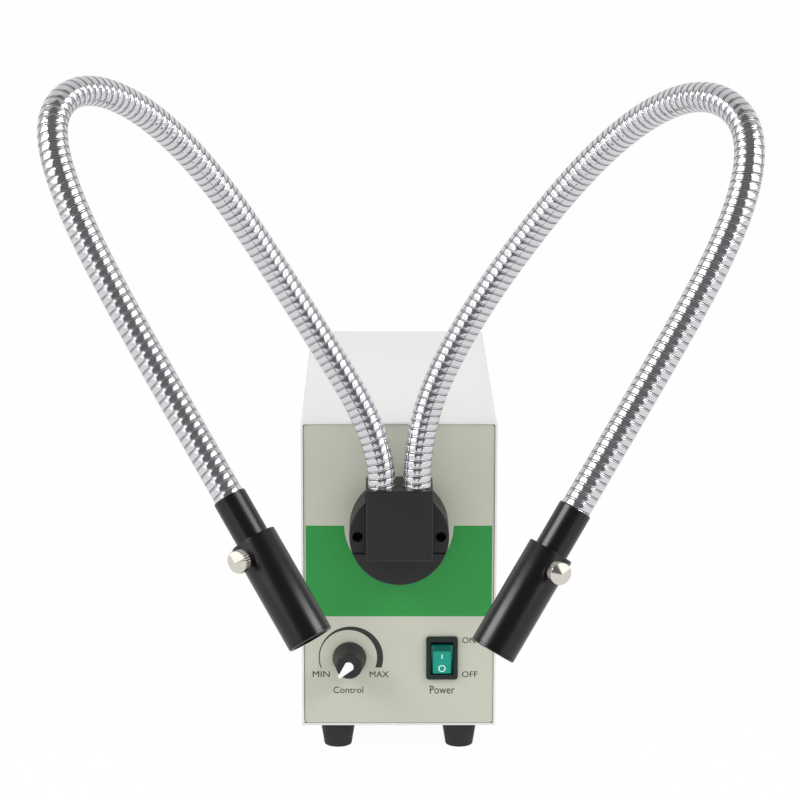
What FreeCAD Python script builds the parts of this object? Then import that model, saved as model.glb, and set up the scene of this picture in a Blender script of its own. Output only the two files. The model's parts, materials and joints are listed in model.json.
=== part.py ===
import FreeCAD, Part
import math
import os

from FreeCAD import Placement, Rotation, Vector

# Fibre optic illuminator with two self-holding goosenecks.
# Millimetres. X to the right, Y away from the front panel, Z up, feet on Z = 0.

# Case
CASE_WIDTH = 92.0
CASE_HEIGHT = 148.0
CASE_DEPTH = 225.0
FRONT_PLACE = -23.0
FOOT_HEIGHT = 12.0
COVER_SHEET = 1.0
COVER_BEND = 2.0
COVER_LIP = 10.0
CHASSIS_SHEET = 1.0
CHASSIS_FLANGE = 12.0
CHASSIS_WALL_DROP = 10.0
CASE_FIT = 0.2
OVERRUN = 1.0

# Front and rear panels
PANEL_SETBACK = 0.5
PANEL_THICKNESS = 2.0
PANEL_GAP = 0.25
PANEL_CORNER = 1.6
REAR_THICKNESS = 1.5

# Side and rear vents
VENT_COUNT = 9
VENT_PITCH = 8.0
VENT_WIDTH = 3.0
VENT_LENGTH = 34.0
VENT_END_SHARE = 0.98
VENT_START = 118.0
VENT_RISE = 62.0
REAR_VENT_COUNT = 7
REAR_VENT_LENGTH = 52.0
REAR_VENT_DROP = 50.0

# Screws
SCREW_RADIUS = 1.5
SCREW_FIT = 0.1
SCREW_HEAD_RADIUS = 2.9
SCREW_HEAD_HEIGHT = 1.8
SCREW_DRIVE_RADIUS = 1.2
SCREW_DRIVE_DEPTH = 1.0
SIDE_SCREW_RISE = 6.5
SIDE_SCREW_FRONT_INSET = 75.0
SIDE_SCREW_REAR_INSET = 28.0
CASE_SCREW_LENGTH = 5.0
REAR_SCREW_SIDE = 34.0
REAR_SCREW_RISE = 6.0
NUT_ACROSS = 5.5
NUT_HEIGHT = 2.4

# Feet
FOOT_TOP_RADIUS = 8.4
FOOT_BOTTOM_RADIUS = 6.6
FOOT_SPREAD = 58.0
FOOT_INSET = 10.0
FOOT_RECESS_RADIUS = 3.6
FOOT_RECESS_DEPTH = 6.0

# Light port
PORT_DROP = 49.7
HOUSING_RADIUS = 23.2
HOUSING_DEPTH = 22.0
HOUSING_WEB = 3.5
HOUSING_EDGE = 0.5
HOUSING_GROOVE_DROP = 7.8
HOUSING_GROOVE_WIDTH = 0.9
HOUSING_GROOVE_DEPTH = 1.0
HOUSING_SCREW_SIDE = 19.3
HOUSING_SCREW_RADIUS = 1.25
HOUSING_SCREW_HEAD = 2.3
HOUSING_SCREW_HEAD_HEIGHT = 2.5
HOUSING_SCREW_SINK = 11.0
HOUSING_SCREW_FIT = 0.15
PORT_RADIUS = 9.0

# Light engine
HOLDER_FLANGE_RADIUS = 24.0
HOLDER_FLANGE = 4.0
HOLDER_RADIUS = 15.0
HOLDER_LENGTH = 33.0
HOLDER_STOP = 10.0
LENS_RADIUS = 12.0
LENS_RIM = 3.0
LENS_CROWN = 5.0
LENS_FIT = 0.1
BOARD_SIDE = 34.0
BOARD_THICKNESS = 1.6
EMITTER_SIDE = 10.0
EMITTER_HEIGHT = 1.2
EMITTER_DOME = 3.6
SINK_SIDE = 60.0
SINK_BASE = 6.0
SINK_FIN_COUNT = 11
SINK_FIN_THICKNESS = 1.6
SINK_FIN_LENGTH = 35.0
FAN_DEPTH = 15.0
FAN_BORE = 28.0
FAN_HUB_RADIUS = 13.0
FAN_HUB_DEPTH = 11.5
FAN_TIP_GAP = 0.8
FAN_BLADE_COUNT = 7
FAN_BLADE_THICKNESS = 1.4
FAN_BLADE_WIDTH = 9.0
FAN_BLADE_TILT = 35.0
FAN_STRUT = 3.0
FAN_STRUT_DEPTH = 2.0
FAN_SPINDLE_RADIUS = 1.5
FAN_SPINDLE_FIT = 0.05
FAN_SPINDLE_LENGTH = 9.0
FAN_SCREW_SPACING = 50.0
BRACKET_SHEET = 1.5
BRACKET_DEPTH = 30.0
BRACKET_FOOT = 9.0
BRACKET_FOOT_SCREW_RADIUS = 1.6

# Circuit boards
SUPPLY_WIDTH = 64.0
SUPPLY_LENGTH = 104.0
SUPPLY_START = 96.0
STANDOFF_HEIGHT = 6.0
STANDOFF_RADIUS = 2.5
STANDOFF_INSET = 5.0
TRANSFORMER_WIDTH = 28.0
TRANSFORMER_LENGTH = 24.0
TRANSFORMER_HEIGHT = 22.0
CAPACITOR_RADIUS = 7.0
CAPACITOR_HEIGHT = 25.0
REGULATOR_WIDTH = 30.0
REGULATOR_THICKNESS = 3.0
REGULATOR_HEIGHT = 20.0
DRIVER_WIDTH = 46.0
DRIVER_LENGTH = 52.0
DRIVER_START = 29.0
DRIVER_COIL_RADIUS = 7.0
DRIVER_COIL_HEIGHT = 9.0
DRIVER_CHIP = 9.0
DRIVER_CHIP_HEIGHT = 2.5

# Mains inlet
INLET_WIDTH = 50.0
INLET_HEIGHT = 24.0
INLET_FLANGE = 3.0
INLET_BODY_WIDTH = 28.0
INLET_BODY_HEIGHT = 20.0
INLET_BODY_DEPTH = 21.0
INLET_MOUTH_WIDTH = 24.0
INLET_MOUTH_HEIGHT = 16.4
INLET_MOUTH_DEPTH = 20.0
INLET_CORNER = 4.0
INLET_SIDE = 12.0
INLET_RISE = 30.0
INLET_SCREW_SPACING = 40.0
PIN_WIDTH = 4.0
PIN_THICKNESS = 2.0
PIN_LENGTH = 14.0
PIN_SPACING = 7.0
PIN_DROP = 2.0
PIN_RAISE = 2.0

# Dimmer
CONTROL_RISE = 33.5
KNOB_SIDE = 23.4
KNOB_RADIUS = 8.0
KNOB_LENGTH = 13.6
KNOB_GAP = 0.8
KNOB_EDGE = 0.7
KNOB_TAPER = 1.7
KNOB_RECESS_RADIUS = 6.4
KNOB_RECESS_DEPTH = 3.2
KNOB_WALL = 2.4
POINTER_HUB_RADIUS = 2.45
POINTER_HUB_OFFSET = 0.6
POINTER_TIP_RADIUS = 0.85
POINTER_TIP_OFFSET = 6.55
POINTER_SINK = 1.2
POINTER_PROUD = 0.45
POINTER_ANGLE = 41.5
SHAFT_RADIUS = 3.0
SHAFT_FIT = 0.05
SHAFT_FLAT = 1.5
SHAFT_ROOT = 4.0
BUSH_RADIUS = 3.5
BUSH_LENGTH = 5.5
BUSH_NUT_ACROSS = 10.0
BUSH_NUT_HEIGHT = 1.6
DIMMER_RADIUS = 8.2
DIMMER_DEPTH = 9.0
DIMMER_TAB_WIDTH = 1.5
DIMMER_TAB_THICKNESS = 0.6
DIMMER_TAB_LENGTH = 6.0
DIMMER_TAB_SPACING = 5.0

# Rocker switch
SWITCH_SIDE = 20.5
BEZEL_WIDTH = 15.0
BEZEL_HEIGHT = 21.0
BEZEL_THICKNESS = 1.7
BEZEL_CORNER = 1.3
BEZEL_EDGE = 0.4
SWITCH_WIDTH = 12.8
SWITCH_HEIGHT = 19.0
SWITCH_DEPTH = 17.0
SWITCH_FIT = 0.1
WINDOW_WIDTH = 10.8
WINDOW_HEIGHT = 16.0
WINDOW_DEPTH = 8.0
ROCKER_GAP = 0.3
ROCKER_PIVOT_DEPTH = 1.3
ROCKER_PIN_RADIUS = 0.8
ROCKER_PIN_FIT = 0.05
ROCKER_LOW_FRONT = 2.2
ROCKER_LOW_END = 7.35
ROCKER_VALLEY = 1.7
ROCKER_VALLEY_DROP = 1.0
ROCKER_RIDGE = 3.0
ROCKER_RIDGE_RISE = 3.7
ROCKER_HIGH_FRONT = 1.4
ROCKER_HIGH_END = 6.9
ROCKER_BACK = 2.4
ROCKER_BACK_END = 6.6
ROCKER_TILT = 10.0
SPADE_WIDTH = 4.8
SPADE_THICKNESS = 0.8
SPADE_LENGTH = 7.0
SPADE_SPACING = 9.0

# Light guide head
HEAD_WIDTH = 31.0
HEAD_DEPTH = 30.5
HEAD_HEIGHT = 33.3
HEAD_DROP = 8.6
HEAD_FIT = 0.3
HEAD_EDGE = 0.6
HEAD_ROOF = 6.0
HEAD_FRONT_WALL = 2.2
HEAD_SIDE_WALL = 2.0
HEAD_REAR_WALL = 3.0
PLUG_REACH = 14.0
PLUG_FIT = 0.08
PLUG_WALL = 2.5
BUNDLE_FIT = 0.1

# Goosenecks
NECK_SPREAD = 16.0
NECK_INSET = 9.0
NECK_RISE = 200.0
HOSE_RADIUS = 6.5
HOSE_SEAM_RADIUS = 6.15
HOSE_BORE = 3.9
RIB_PITCH = 3.6
RIB_SEAM_SHARE = 0.14
RIB_STEP_SHARE = 0.2
RIB_CREST_SHARE = 0.94
BALL_RADIUS = 5.4
BALL_GAP = 0.3
BALL_SHOULDER = 2.75
BALL_END = 2.0
BALL_RING_COUNT = 7
SHOULDER_SLOPE = 0.3
ROOT_SEAT = 5.0
FIBRE_RADIUS = 3.6
FIBRE_START = 4.2
BORE_STEP = 7.0
SEGMENT_COUNT = 5

# The necks' routes from the head's roof: outward, forward and upward shares of NECK_RISE
LEFT_ROUTE_SHARES = [
    (0.0, 0.0, 0.0),
    (0.0, 0.0, 0.107),
    (0.105, -0.015, 0.286),
    (0.246, -0.006, 0.514),
    (0.386, 0.063, 0.745),
    (0.533, 0.189, 0.912),
    (0.652, 0.32, 0.968),
    (0.712, 0.412, 0.908),
    (0.679, 0.463, 0.772),
    (0.585, 0.505, 0.576),
    (0.454, 0.561, 0.353),
    (0.306, 0.65, 0.111),
]
RIGHT_ROUTE_SHARES = [
    (0.0, 0.0, 0.0),
    (0.0, 0.0, 0.152),
    (0.09, -0.014, 0.35),
    (0.235, -0.002, 0.566),
    (0.386, 0.071, 0.773),
    (0.526, 0.201, 0.912),
    (0.633, 0.337, 0.954),
    (0.704, 0.437, 0.894),
    (0.689, 0.493, 0.76),
    (0.61, 0.53, 0.577),
    (0.475, 0.573, 0.353),
    (0.311, 0.643, 0.083),
]
NECK_PLANE_SHARES = (0.82, 0.42, -0.39)

# Guide tips
SLEEVE_RADIUS = 7.3
SLEEVE_SHOWN = 14.2
SLEEVE_INSIDE = 22.0
SLEEVE_SOCKET = 6.0
SLEEVE_SOCKET_FIT = 0.1
TIP_EDGE = 0.4
BARREL_RADIUS = 10.0
BARREL_LENGTH = 49.0
BARREL_FIT = 0.06
BARREL_GUIDE = 32.0
BARREL_MOUTH_RADIUS = 8.0
TIP_LENS_RADIUS = 8.6
TIP_LENS_RIM = 2.0
TIP_LENS_CROWN = 2.2
TIP_LENS_SEAT = 2.0
TIP_LENS_FIT = 0.1
TIP_LENS_CROWN_ROOM = 0.5
THUMB_DROP = 6.8
THUMB_STEM_RADIUS = 1.5
THUMB_STEM_FIT = 0.08
THUMB_TIP_GAP = 0.25
THUMB_STAND = 2.8
THUMB_NECK_RADIUS = 3.0
THUMB_HEAD_RADIUS = 5.0
THUMB_HEAD_HEIGHT = 4.4
THUMB_CONE_RISE = 1.5
THUMB_EDGE = 0.35
THUMB_BACK_SLOPE = 0.7
KNURL_COUNT = 36
KNURL_DEPTH = 0.3
KNURL_WIDTH_SHARE = 0.55
LEFT_THUMB_TURN = 29.0
RIGHT_THUMB_TURN = 19.0

# Places that follow from the sizes above
FLOOR = FOOT_HEIGHT
ROOF = FLOOR + CASE_HEIGHT
HALF_WIDTH = CASE_WIDTH / 2
BACK_PLACE = FRONT_PLACE + CASE_DEPTH
PANEL_FRONT = FRONT_PLACE + PANEL_SETBACK
PANEL_BACK = PANEL_FRONT + PANEL_THICKNESS
WALL_BACK = PANEL_BACK + CHASSIS_SHEET
REAR_BACK = BACK_PLACE - PANEL_SETBACK
REAR_FRONT = REAR_BACK - REAR_THICKNESS
CHASSIS_SIDE = HALF_WIDTH - COVER_SHEET - CASE_FIT
CHASSIS_TOP = FLOOR + CHASSIS_SHEET
PANEL_SIDE = HALF_WIDTH - COVER_SHEET - PANEL_GAP
PANEL_LOW = CHASSIS_TOP + PANEL_GAP
PANEL_HIGH = ROOF - COVER_SHEET - PANEL_GAP
PORT_Z = ROOF - PORT_DROP
CONTROL_Z = FLOOR + CONTROL_RISE
HOLDER_BACK = WALL_BACK + HOLDER_LENGTH
BOARD_BACK = HOLDER_BACK + BOARD_THICKNESS
SINK_BACK = BOARD_BACK + SINK_BASE + SINK_FIN_LENGTH
FAN_BACK = SINK_BACK + FAN_DEPTH
HOUSING_FRONT = PANEL_FRONT - HOUSING_DEPTH
HEAD_BACK = PANEL_FRONT - HOUSING_WEB - HEAD_FIT
HEAD_FRONT = HEAD_BACK - HEAD_DEPTH
HEAD_LOW = PORT_Z - HEAD_DROP
HEAD_TOP = HEAD_LOW + HEAD_HEIGHT
NECK_PLACE = HEAD_FRONT + NECK_INSET
PLUG_RADIUS = PORT_RADIUS - PLUG_FIT
CUP_RADIUS = BALL_RADIUS + BALL_GAP
ROOT_RISE = BALL_SHOULDER + SHOULDER_SLOPE

ALONG_X = Vector(1, 0, 0)
ALONG_Y = Vector(0, 1, 0)
ALONG_Z = Vector(0, 0, 1)
FORWARD = Vector(0, -1, 0)
SIDES = (-1, 1)


def block(x_span, y_span, z_span):
    """Returns a box between two places on each axis."""
    size = [high - low for low, high in (x_span, y_span, z_span)]
    return Part.makeBox(size[0], size[1], size[2], Vector(x_span[0], y_span[0], z_span[0]))


def rod(start, direction, length, radius):
    """Returns a round bar."""
    return Part.makeCylinder(radius, length, start, direction)


def tube(start, direction, length, outer, inner):
    """Returns a round bar with a through bore."""
    bore_start = start - direction * OVERRUN
    return rod(start, direction, length, outer).cut(rod(bore_start, direction, length + 2 * OVERRUN, inner))


def round_edges(shape, radius, direction):
    """Rounds every straight edge that runs along one direction."""
    edges = [edge for edge in shape.Edges
             if isinstance(edge.Curve, Part.Line) and abs(edge.tangentAt(edge.FirstParameter).dot(direction)) > 0.999]
    return shape.makeFillet(radius, edges)


def break_rims(shape, size, places, direction):
    """Chamfers the round edges that lie at the given places along one direction."""
    edges = [edge for edge in shape.Edges
             if isinstance(edge.Curve, Part.Circle)
             and any(abs(edge.Curve.Center.dot(direction) - place) < size / 10 for place in places)]
    return shape.makeChamfer(size, edges)


def turned(points):
    """Turns an outline of (radius, height) points about Z."""
    corners = [Vector(radius, 0, height) for radius, height in points]
    face = Part.Face(Part.makePolygon(corners + corners[:1]))
    return face.revolve(Vector(0, 0, 0), ALONG_Z, 360)


def hexagon(centre, direction, across, height, bore):
    """Returns a six-sided nut."""
    corner = across / 2 / math.cos(math.radians(30))
    corners = [Vector(corner * math.cos(math.radians(60 * turn)), corner * math.sin(math.radians(60 * turn)), 0)
               for turn in range(6)]
    nut = Part.Face(Part.makePolygon(corners + corners[:1])).extrude(ALONG_Z * height)
    nut = nut.cut(rod(ALONG_Z * -OVERRUN, ALONG_Z, height + 2 * OVERRUN, bore))
    nut.Placement = Placement(centre, Rotation(ALONG_Z, direction))
    return nut


def pan_screw(seat, direction, length):
    """Returns a pan-head screw whose head lies on a seat and whose shank runs along a direction."""
    head = rod(seat - direction * SCREW_HEAD_HEIGHT, direction, SCREW_HEAD_HEIGHT, SCREW_HEAD_RADIUS)
    head = head.makeFillet(SCREW_HEAD_HEIGHT / 2, [edge for edge in head.Edges
                                                 if isinstance(edge.Curve, Part.Circle)
                                                 and (edge.Curve.Center - seat).Length > SCREW_HEAD_HEIGHT / 2])
    drive_start = seat - direction * (SCREW_HEAD_HEIGHT + OVERRUN)
    head = head.cut(rod(drive_start, direction, OVERRUN + SCREW_DRIVE_DEPTH, SCREW_DRIVE_RADIUS))
    return head.fuse(rod(seat, direction, length, SCREW_RADIUS))


def save(name, shape):
    """Writes one piece, or one group of like pieces."""
    solids = shape.Solids
    result = solids[0] if len(solids) == 1 else Part.makeCompound(solids)
    result.exportStep(os.path.join("parts", name + ".step"))


def group(shapes):
    """Keeps separate solids together in one node."""
    return Part.makeCompound([solid for shape in shapes for solid in shape.Solids])


# Case: cover, chassis, panels, feet and screws

def side_screw_places():
    """Returns each side screw's place on the cover and its direction."""
    depths = (FRONT_PLACE + SIDE_SCREW_FRONT_INSET, BACK_PLACE - SIDE_SCREW_REAR_INSET)
    return [(Vector(side * HALF_WIDTH, depth, FLOOR + SIDE_SCREW_RISE), Vector(-side, 0, 0))
            for side in SIDES for depth in depths]


def rear_screw_places():
    """Returns each rear screw's place on the rear panel and its direction."""
    heights = (CHASSIS_TOP + REAR_SCREW_RISE, ROOF - COVER_SHEET - REAR_SCREW_RISE)
    return [(Vector(side * REAR_SCREW_SIDE, REAR_BACK, height), FORWARD) for side in SIDES for height in heights]


def foot_places():
    """Returns the four feet's places on the ground."""
    depths = (FRONT_PLACE + FOOT_INSET, BACK_PLACE - FOOT_INSET)
    return [Vector(side * FOOT_SPREAD / 2, depth, 0) for side in SIDES for depth in depths]


def drill(shape, places, radius):
    """Cuts a short hole both ways through a sheet at each place."""
    for place, direction in places:
        shape = shape.cut(rod(place - direction * SCREW_HEAD_HEIGHT, direction,
                              SCREW_HEAD_HEIGHT + CASE_SCREW_LENGTH, radius))
    return shape


def make_cover():
    outer = block((-HALF_WIDTH, HALF_WIDTH), (FRONT_PLACE, BACK_PLACE), (FLOOR, ROOF))
    corners = [edge for edge in outer.Edges
               if edge.BoundBox.ZMin > ROOF - COVER_SHEET and edge.BoundBox.YLength > CASE_DEPTH / 2]
    outer = outer.makeFillet(COVER_BEND, corners)
    inside = HALF_WIDTH - COVER_SHEET
    inner = block((-inside, inside), (FRONT_PLACE - OVERRUN, BACK_PLACE + OVERRUN),
                  (FLOOR - OVERRUN, ROOF - COVER_SHEET))
    corners = [edge for edge in inner.Edges
               if edge.BoundBox.ZMin > ROOF - 2 * COVER_SHEET and edge.BoundBox.YLength > CASE_DEPTH / 2]
    inner = inner.makeFillet(COVER_BEND - COVER_SHEET, corners)
    cover = outer.cut(inner)
    lip = block((-inside, inside), (REAR_FRONT - COVER_SHEET, REAR_FRONT),
                (ROOF - COVER_SHEET - COVER_LIP, ROOF - COVER_SHEET / 2))
    cover = cover.fuse(lip).removeSplitter()
    for index in range(VENT_COUNT):
        start = FRONT_PLACE + VENT_START + index * VENT_PITCH
        slot = block((-HALF_WIDTH - OVERRUN, HALF_WIDTH + OVERRUN), (start, start + VENT_WIDTH),
                     (FLOOR + VENT_RISE, FLOOR + VENT_RISE + VENT_LENGTH))
        cover = cover.cut(round_edges(slot, VENT_WIDTH / 2 * VENT_END_SHARE, ALONG_X))
    cover = drill(cover, side_screw_places(), SCREW_RADIUS + SCREW_FIT)
    return drill(cover, rear_screw_places(), SCREW_RADIUS + SCREW_FIT)


def make_chassis():
    floor = block((-CHASSIS_SIDE, CHASSIS_SIDE), (PANEL_FRONT, REAR_BACK), (FLOOR, CHASSIS_TOP))
    chassis = floor
    for side in SIDES:
        span = sorted((side * CHASSIS_SIDE, side * (CHASSIS_SIDE - CHASSIS_SHEET)))
        chassis = chassis.fuse(block(span, (PANEL_BACK, REAR_FRONT), (FLOOR, FLOOR + CHASSIS_FLANGE)))
    wall_side = PANEL_SIDE - PANEL_GAP
    chassis = chassis.fuse(block((-wall_side, wall_side), (PANEL_BACK, WALL_BACK), (FLOOR, ROOF - CHASSIS_WALL_DROP)))
    chassis = chassis.fuse(block((-wall_side, wall_side), (REAR_FRONT - CHASSIS_SHEET, REAR_FRONT),
                                 (FLOOR, CHASSIS_TOP + 2 * REAR_SCREW_RISE)))
    chassis = chassis.removeSplitter()
    chassis = drill(chassis, side_screw_places(), SCREW_RADIUS + SCREW_FIT)
    chassis = drill(chassis, rear_screw_places()[::2], SCREW_RADIUS + SCREW_FIT)
    for place in foot_places():
        chassis = chassis.cut(rod(place, ALONG_Z, CHASSIS_TOP + OVERRUN, SCREW_RADIUS + SCREW_FIT))
    return cut_controls(chassis)


def cut_controls(sheet):
    """Cuts the light port, the dimmer's bush and the switch out of a front sheet."""
    start = PANEL_FRONT - OVERRUN
    depth = WALL_BACK - PANEL_FRONT + 2 * OVERRUN
    sheet = sheet.cut(rod(Vector(0, start, PORT_Z), ALONG_Y, depth, PORT_RADIUS))
    for side in SIDES:
        sheet = sheet.cut(rod(Vector(side * HOUSING_SCREW_SIDE, start, PORT_Z), ALONG_Y, depth,
                              HOUSING_SCREW_RADIUS + HOUSING_SCREW_FIT))
    sheet = sheet.cut(rod(Vector(-KNOB_SIDE, start, CONTROL_Z), ALONG_Y, depth, BUSH_RADIUS + SHAFT_FIT))
    half_width = SWITCH_WIDTH / 2 + SWITCH_FIT
    half_height = SWITCH_HEIGHT / 2 + SWITCH_FIT
    return sheet.cut(block((SWITCH_SIDE - half_width, SWITCH_SIDE + half_width), (start, start + depth),
                           (CONTROL_Z - half_height, CONTROL_Z + half_height)))


def make_front_panel():
    panel = block((-PANEL_SIDE, PANEL_SIDE), (PANEL_FRONT, PANEL_BACK), (PANEL_LOW, PANEL_HIGH))
    return cut_controls(round_edges(panel, PANEL_CORNER, ALONG_Y))


def make_rear_panel():
    panel = block((-PANEL_SIDE, PANEL_SIDE), (REAR_FRONT, REAR_BACK), (PANEL_LOW, PANEL_HIGH))
    panel = round_edges(panel, PANEL_CORNER, ALONG_Y)
    panel = drill(panel, rear_screw_places(), SCREW_RADIUS + SCREW_FIT)
    cut_span = (REAR_FRONT - OVERRUN, REAR_BACK + OVERRUN)
    for index in range(REAR_VENT_COUNT):
        low = ROOF - REAR_VENT_DROP + (index - (REAR_VENT_COUNT - 1) / 2) * VENT_PITCH - VENT_WIDTH / 2
        slot = block((-REAR_VENT_LENGTH / 2, REAR_VENT_LENGTH / 2), cut_span, (low, low + VENT_WIDTH))
        panel = panel.cut(round_edges(slot, VENT_WIDTH / 2 * VENT_END_SHARE, ALONG_Y))
    inlet_z = FLOOR + INLET_RISE
    half_width = INLET_BODY_WIDTH / 2 + SWITCH_FIT
    half_height = INLET_BODY_HEIGHT / 2 + SWITCH_FIT
    panel = panel.cut(block((INLET_SIDE - half_width, INLET_SIDE + half_width), cut_span,
                            (inlet_z - half_height, inlet_z + half_height)))
    for side in SIDES:
        place = Vector(INLET_SIDE + side * INLET_SCREW_SPACING / 2, REAR_FRONT - OVERRUN, inlet_z)
        panel = panel.cut(rod(place, ALONG_Y, REAR_THICKNESS + 2 * OVERRUN, SCREW_RADIUS + SCREW_FIT))
    return panel


def make_case_screws():
    inlet_z = FLOOR + INLET_RISE
    places = side_screw_places() + rear_screw_places()
    places += [(Vector(INLET_SIDE + side * INLET_SCREW_SPACING / 2, REAR_BACK + INLET_FLANGE, inlet_z), FORWARD)
               for side in SIDES]
    return group([pan_screw(place, direction, CASE_SCREW_LENGTH) for place, direction in places])


def make_feet():
    feet = []
    for place in foot_places():
        foot = Part.makeCone(FOOT_BOTTOM_RADIUS, FOOT_TOP_RADIUS, FOOT_HEIGHT, place, ALONG_Z)
        foot = foot.cut(rod(place - ALONG_Z * OVERRUN, ALONG_Z, OVERRUN + FOOT_RECESS_DEPTH, FOOT_RECESS_RADIUS))
        feet.append(foot.cut(rod(place, ALONG_Z, FOOT_HEIGHT + OVERRUN, SCREW_RADIUS + SCREW_FIT)))
    return group(feet)


def make_foot_screws():
    pieces = []
    for place in foot_places():
        seat = place + ALONG_Z * FOOT_RECESS_DEPTH
        length = CHASSIS_TOP + NUT_HEIGHT + SCREW_RADIUS - FOOT_RECESS_DEPTH
        pieces.append(pan_screw(seat, ALONG_Z, length))
        nut_seat = Vector(place.x, place.y, CHASSIS_TOP)
        pieces.append(hexagon(nut_seat, ALONG_Z, NUT_ACROSS, NUT_HEIGHT, SCREW_RADIUS + SHAFT_FIT))
    return group(pieces)


# Light port and light engine

def make_port_housing():
    start = Vector(0, HOUSING_FRONT, PORT_Z)
    housing = rod(start, ALONG_Y, HOUSING_DEPTH, HOUSING_RADIUS)
    housing = break_rims(housing, HOUSING_EDGE, [HOUSING_FRONT], ALONG_Y)
    half_slot = HEAD_WIDTH / 2 + HEAD_FIT
    housing = housing.cut(block((-half_slot, half_slot), (HOUSING_FRONT - OVERRUN, PANEL_FRONT - HOUSING_WEB),
                                (HEAD_LOW - HEAD_FIT, PORT_Z + HOUSING_RADIUS + OVERRUN)))
    housing = housing.cut(rod(start, ALONG_Y, HOUSING_DEPTH + OVERRUN, PORT_RADIUS))
    groove_z = PORT_Z - HOUSING_GROOVE_DROP
    housing = housing.cut(block((-HOUSING_RADIUS - OVERRUN, HOUSING_RADIUS + OVERRUN),
                                (HOUSING_FRONT - OVERRUN, HOUSING_FRONT + HOUSING_GROOVE_DEPTH),
                                (groove_z - HOUSING_GROOVE_WIDTH / 2, groove_z + HOUSING_GROOVE_WIDTH / 2)))
    for side in SIDES:
        mouth = Vector(side * HOUSING_SCREW_SIDE, HOUSING_FRONT - OVERRUN, PORT_Z)
        housing = housing.cut(rod(mouth, ALONG_Y, OVERRUN + HOUSING_SCREW_SINK,
                                  HOUSING_SCREW_HEAD + HOUSING_SCREW_FIT))
        housing = housing.cut(rod(mouth, ALONG_Y, HOUSING_DEPTH + 2 * OVERRUN,
                                  HOUSING_SCREW_RADIUS + HOUSING_SCREW_FIT))
    return housing


def make_housing_screws():
    screws = []
    shank = HOUSING_DEPTH - HOUSING_SCREW_SINK + PANEL_THICKNESS + CHASSIS_SHEET + HOLDER_FLANGE
    for side in SIDES:
        seat = Vector(side * HOUSING_SCREW_SIDE, HOUSING_FRONT + HOUSING_SCREW_SINK, PORT_Z)
        head = rod(seat + FORWARD * HOUSING_SCREW_HEAD_HEIGHT, ALONG_Y, HOUSING_SCREW_HEAD_HEIGHT,
                   HOUSING_SCREW_HEAD)
        drive = rod(seat + FORWARD * (HOUSING_SCREW_HEAD_HEIGHT + OVERRUN), ALONG_Y,
                    OVERRUN + SCREW_DRIVE_DEPTH, SCREW_DRIVE_RADIUS)
        screws.append(head.cut(drive).fuse(rod(seat, ALONG_Y, shank, HOUSING_SCREW_RADIUS)))
    return group(screws)


def make_lens_holder():
    start = Vector(0, WALL_BACK, PORT_Z)
    holder = rod(start, ALONG_Y, HOLDER_FLANGE, HOLDER_FLANGE_RADIUS).fuse(
        rod(start, ALONG_Y, HOLDER_LENGTH, HOLDER_RADIUS))
    holder = holder.cut(rod(start - ALONG_Y * OVERRUN, ALONG_Y, HOLDER_LENGTH + 2 * OVERRUN, PORT_RADIUS))
    chamber_start = Vector(0, WALL_BACK + HOLDER_STOP, PORT_Z)
    holder = holder.cut(rod(chamber_start, ALONG_Y, HOLDER_LENGTH, LENS_RADIUS + LENS_FIT))
    for side in SIDES:
        holder = holder.cut(rod(Vector(side * HOUSING_SCREW_SIDE, WALL_BACK - OVERRUN, PORT_Z), ALONG_Y,
                                HOLDER_FLANGE + 2 * OVERRUN, HOUSING_SCREW_RADIUS + SHAFT_FIT))
    return holder


def crowned_lens(radius, rim, crown):
    """Returns a lens on Z = 0 with a flat face below and a crowned face above its rim."""
    corners = [Vector(0, 0, 0), Vector(radius, 0, 0), Vector(radius, 0, rim)]
    edges = [Part.makeLine(corners[0], corners[1]), Part.makeLine(corners[1], corners[2])]
    sphere = (radius * radius + crown * crown) / (2 * crown)
    half_turn = math.asin(radius / sphere) / 2
    middle = Vector(sphere * math.sin(half_turn), 0, rim + crown - sphere + sphere * math.cos(half_turn))
    top = Vector(0, 0, rim + crown)
    edges.append(Part.Arc(corners[2], middle, top).toShape())
    edges.append(Part.makeLine(top, corners[0]))
    return Part.Face(Part.Wire(edges)).revolve(Vector(0, 0, 0), ALONG_Z, 360)


def make_condenser_lens():
    lens = crowned_lens(LENS_RADIUS, LENS_RIM, LENS_CROWN)
    lens.Placement = Placement(Vector(0, WALL_BACK + HOLDER_STOP, PORT_Z), Rotation(ALONG_Z, ALONG_Y))
    return lens


def make_led_board():
    half = BOARD_SIDE / 2
    board = block((-half, half), (HOLDER_BACK, BOARD_BACK), (PORT_Z - half, PORT_Z + half))
    half = EMITTER_SIDE / 2
    emitter = block((-half, half), (HOLDER_BACK - EMITTER_HEIGHT, HOLDER_BACK), (PORT_Z - half, PORT_Z + half))
    dome = Part.makeSphere(EMITTER_DOME, Vector(0, HOLDER_BACK - EMITTER_HEIGHT, PORT_Z))
    dome = dome.common(block((-half, half), (HOLDER_BACK - EMITTER_HEIGHT - EMITTER_DOME - OVERRUN,
                                           HOLDER_BACK - EMITTER_HEIGHT), (PORT_Z - half, PORT_Z + half)))
    return group([board, emitter, dome])


def make_heat_sink():
    half = SINK_SIDE / 2
    sink = block((-half, half), (BOARD_BACK, BOARD_BACK + SINK_BASE), (PORT_Z - half, PORT_Z + half))
    pitch = (SINK_SIDE - SINK_FIN_THICKNESS) / (SINK_FIN_COUNT - 1)
    fins = [block((-half + index * pitch, -half + index * pitch + SINK_FIN_THICKNESS),
                  (BOARD_BACK + SINK_BASE / 2, SINK_BACK), (PORT_Z - half, PORT_Z + half))
            for index in range(SINK_FIN_COUNT)]
    return sink.multiFuse(fins).removeSplitter()


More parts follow.
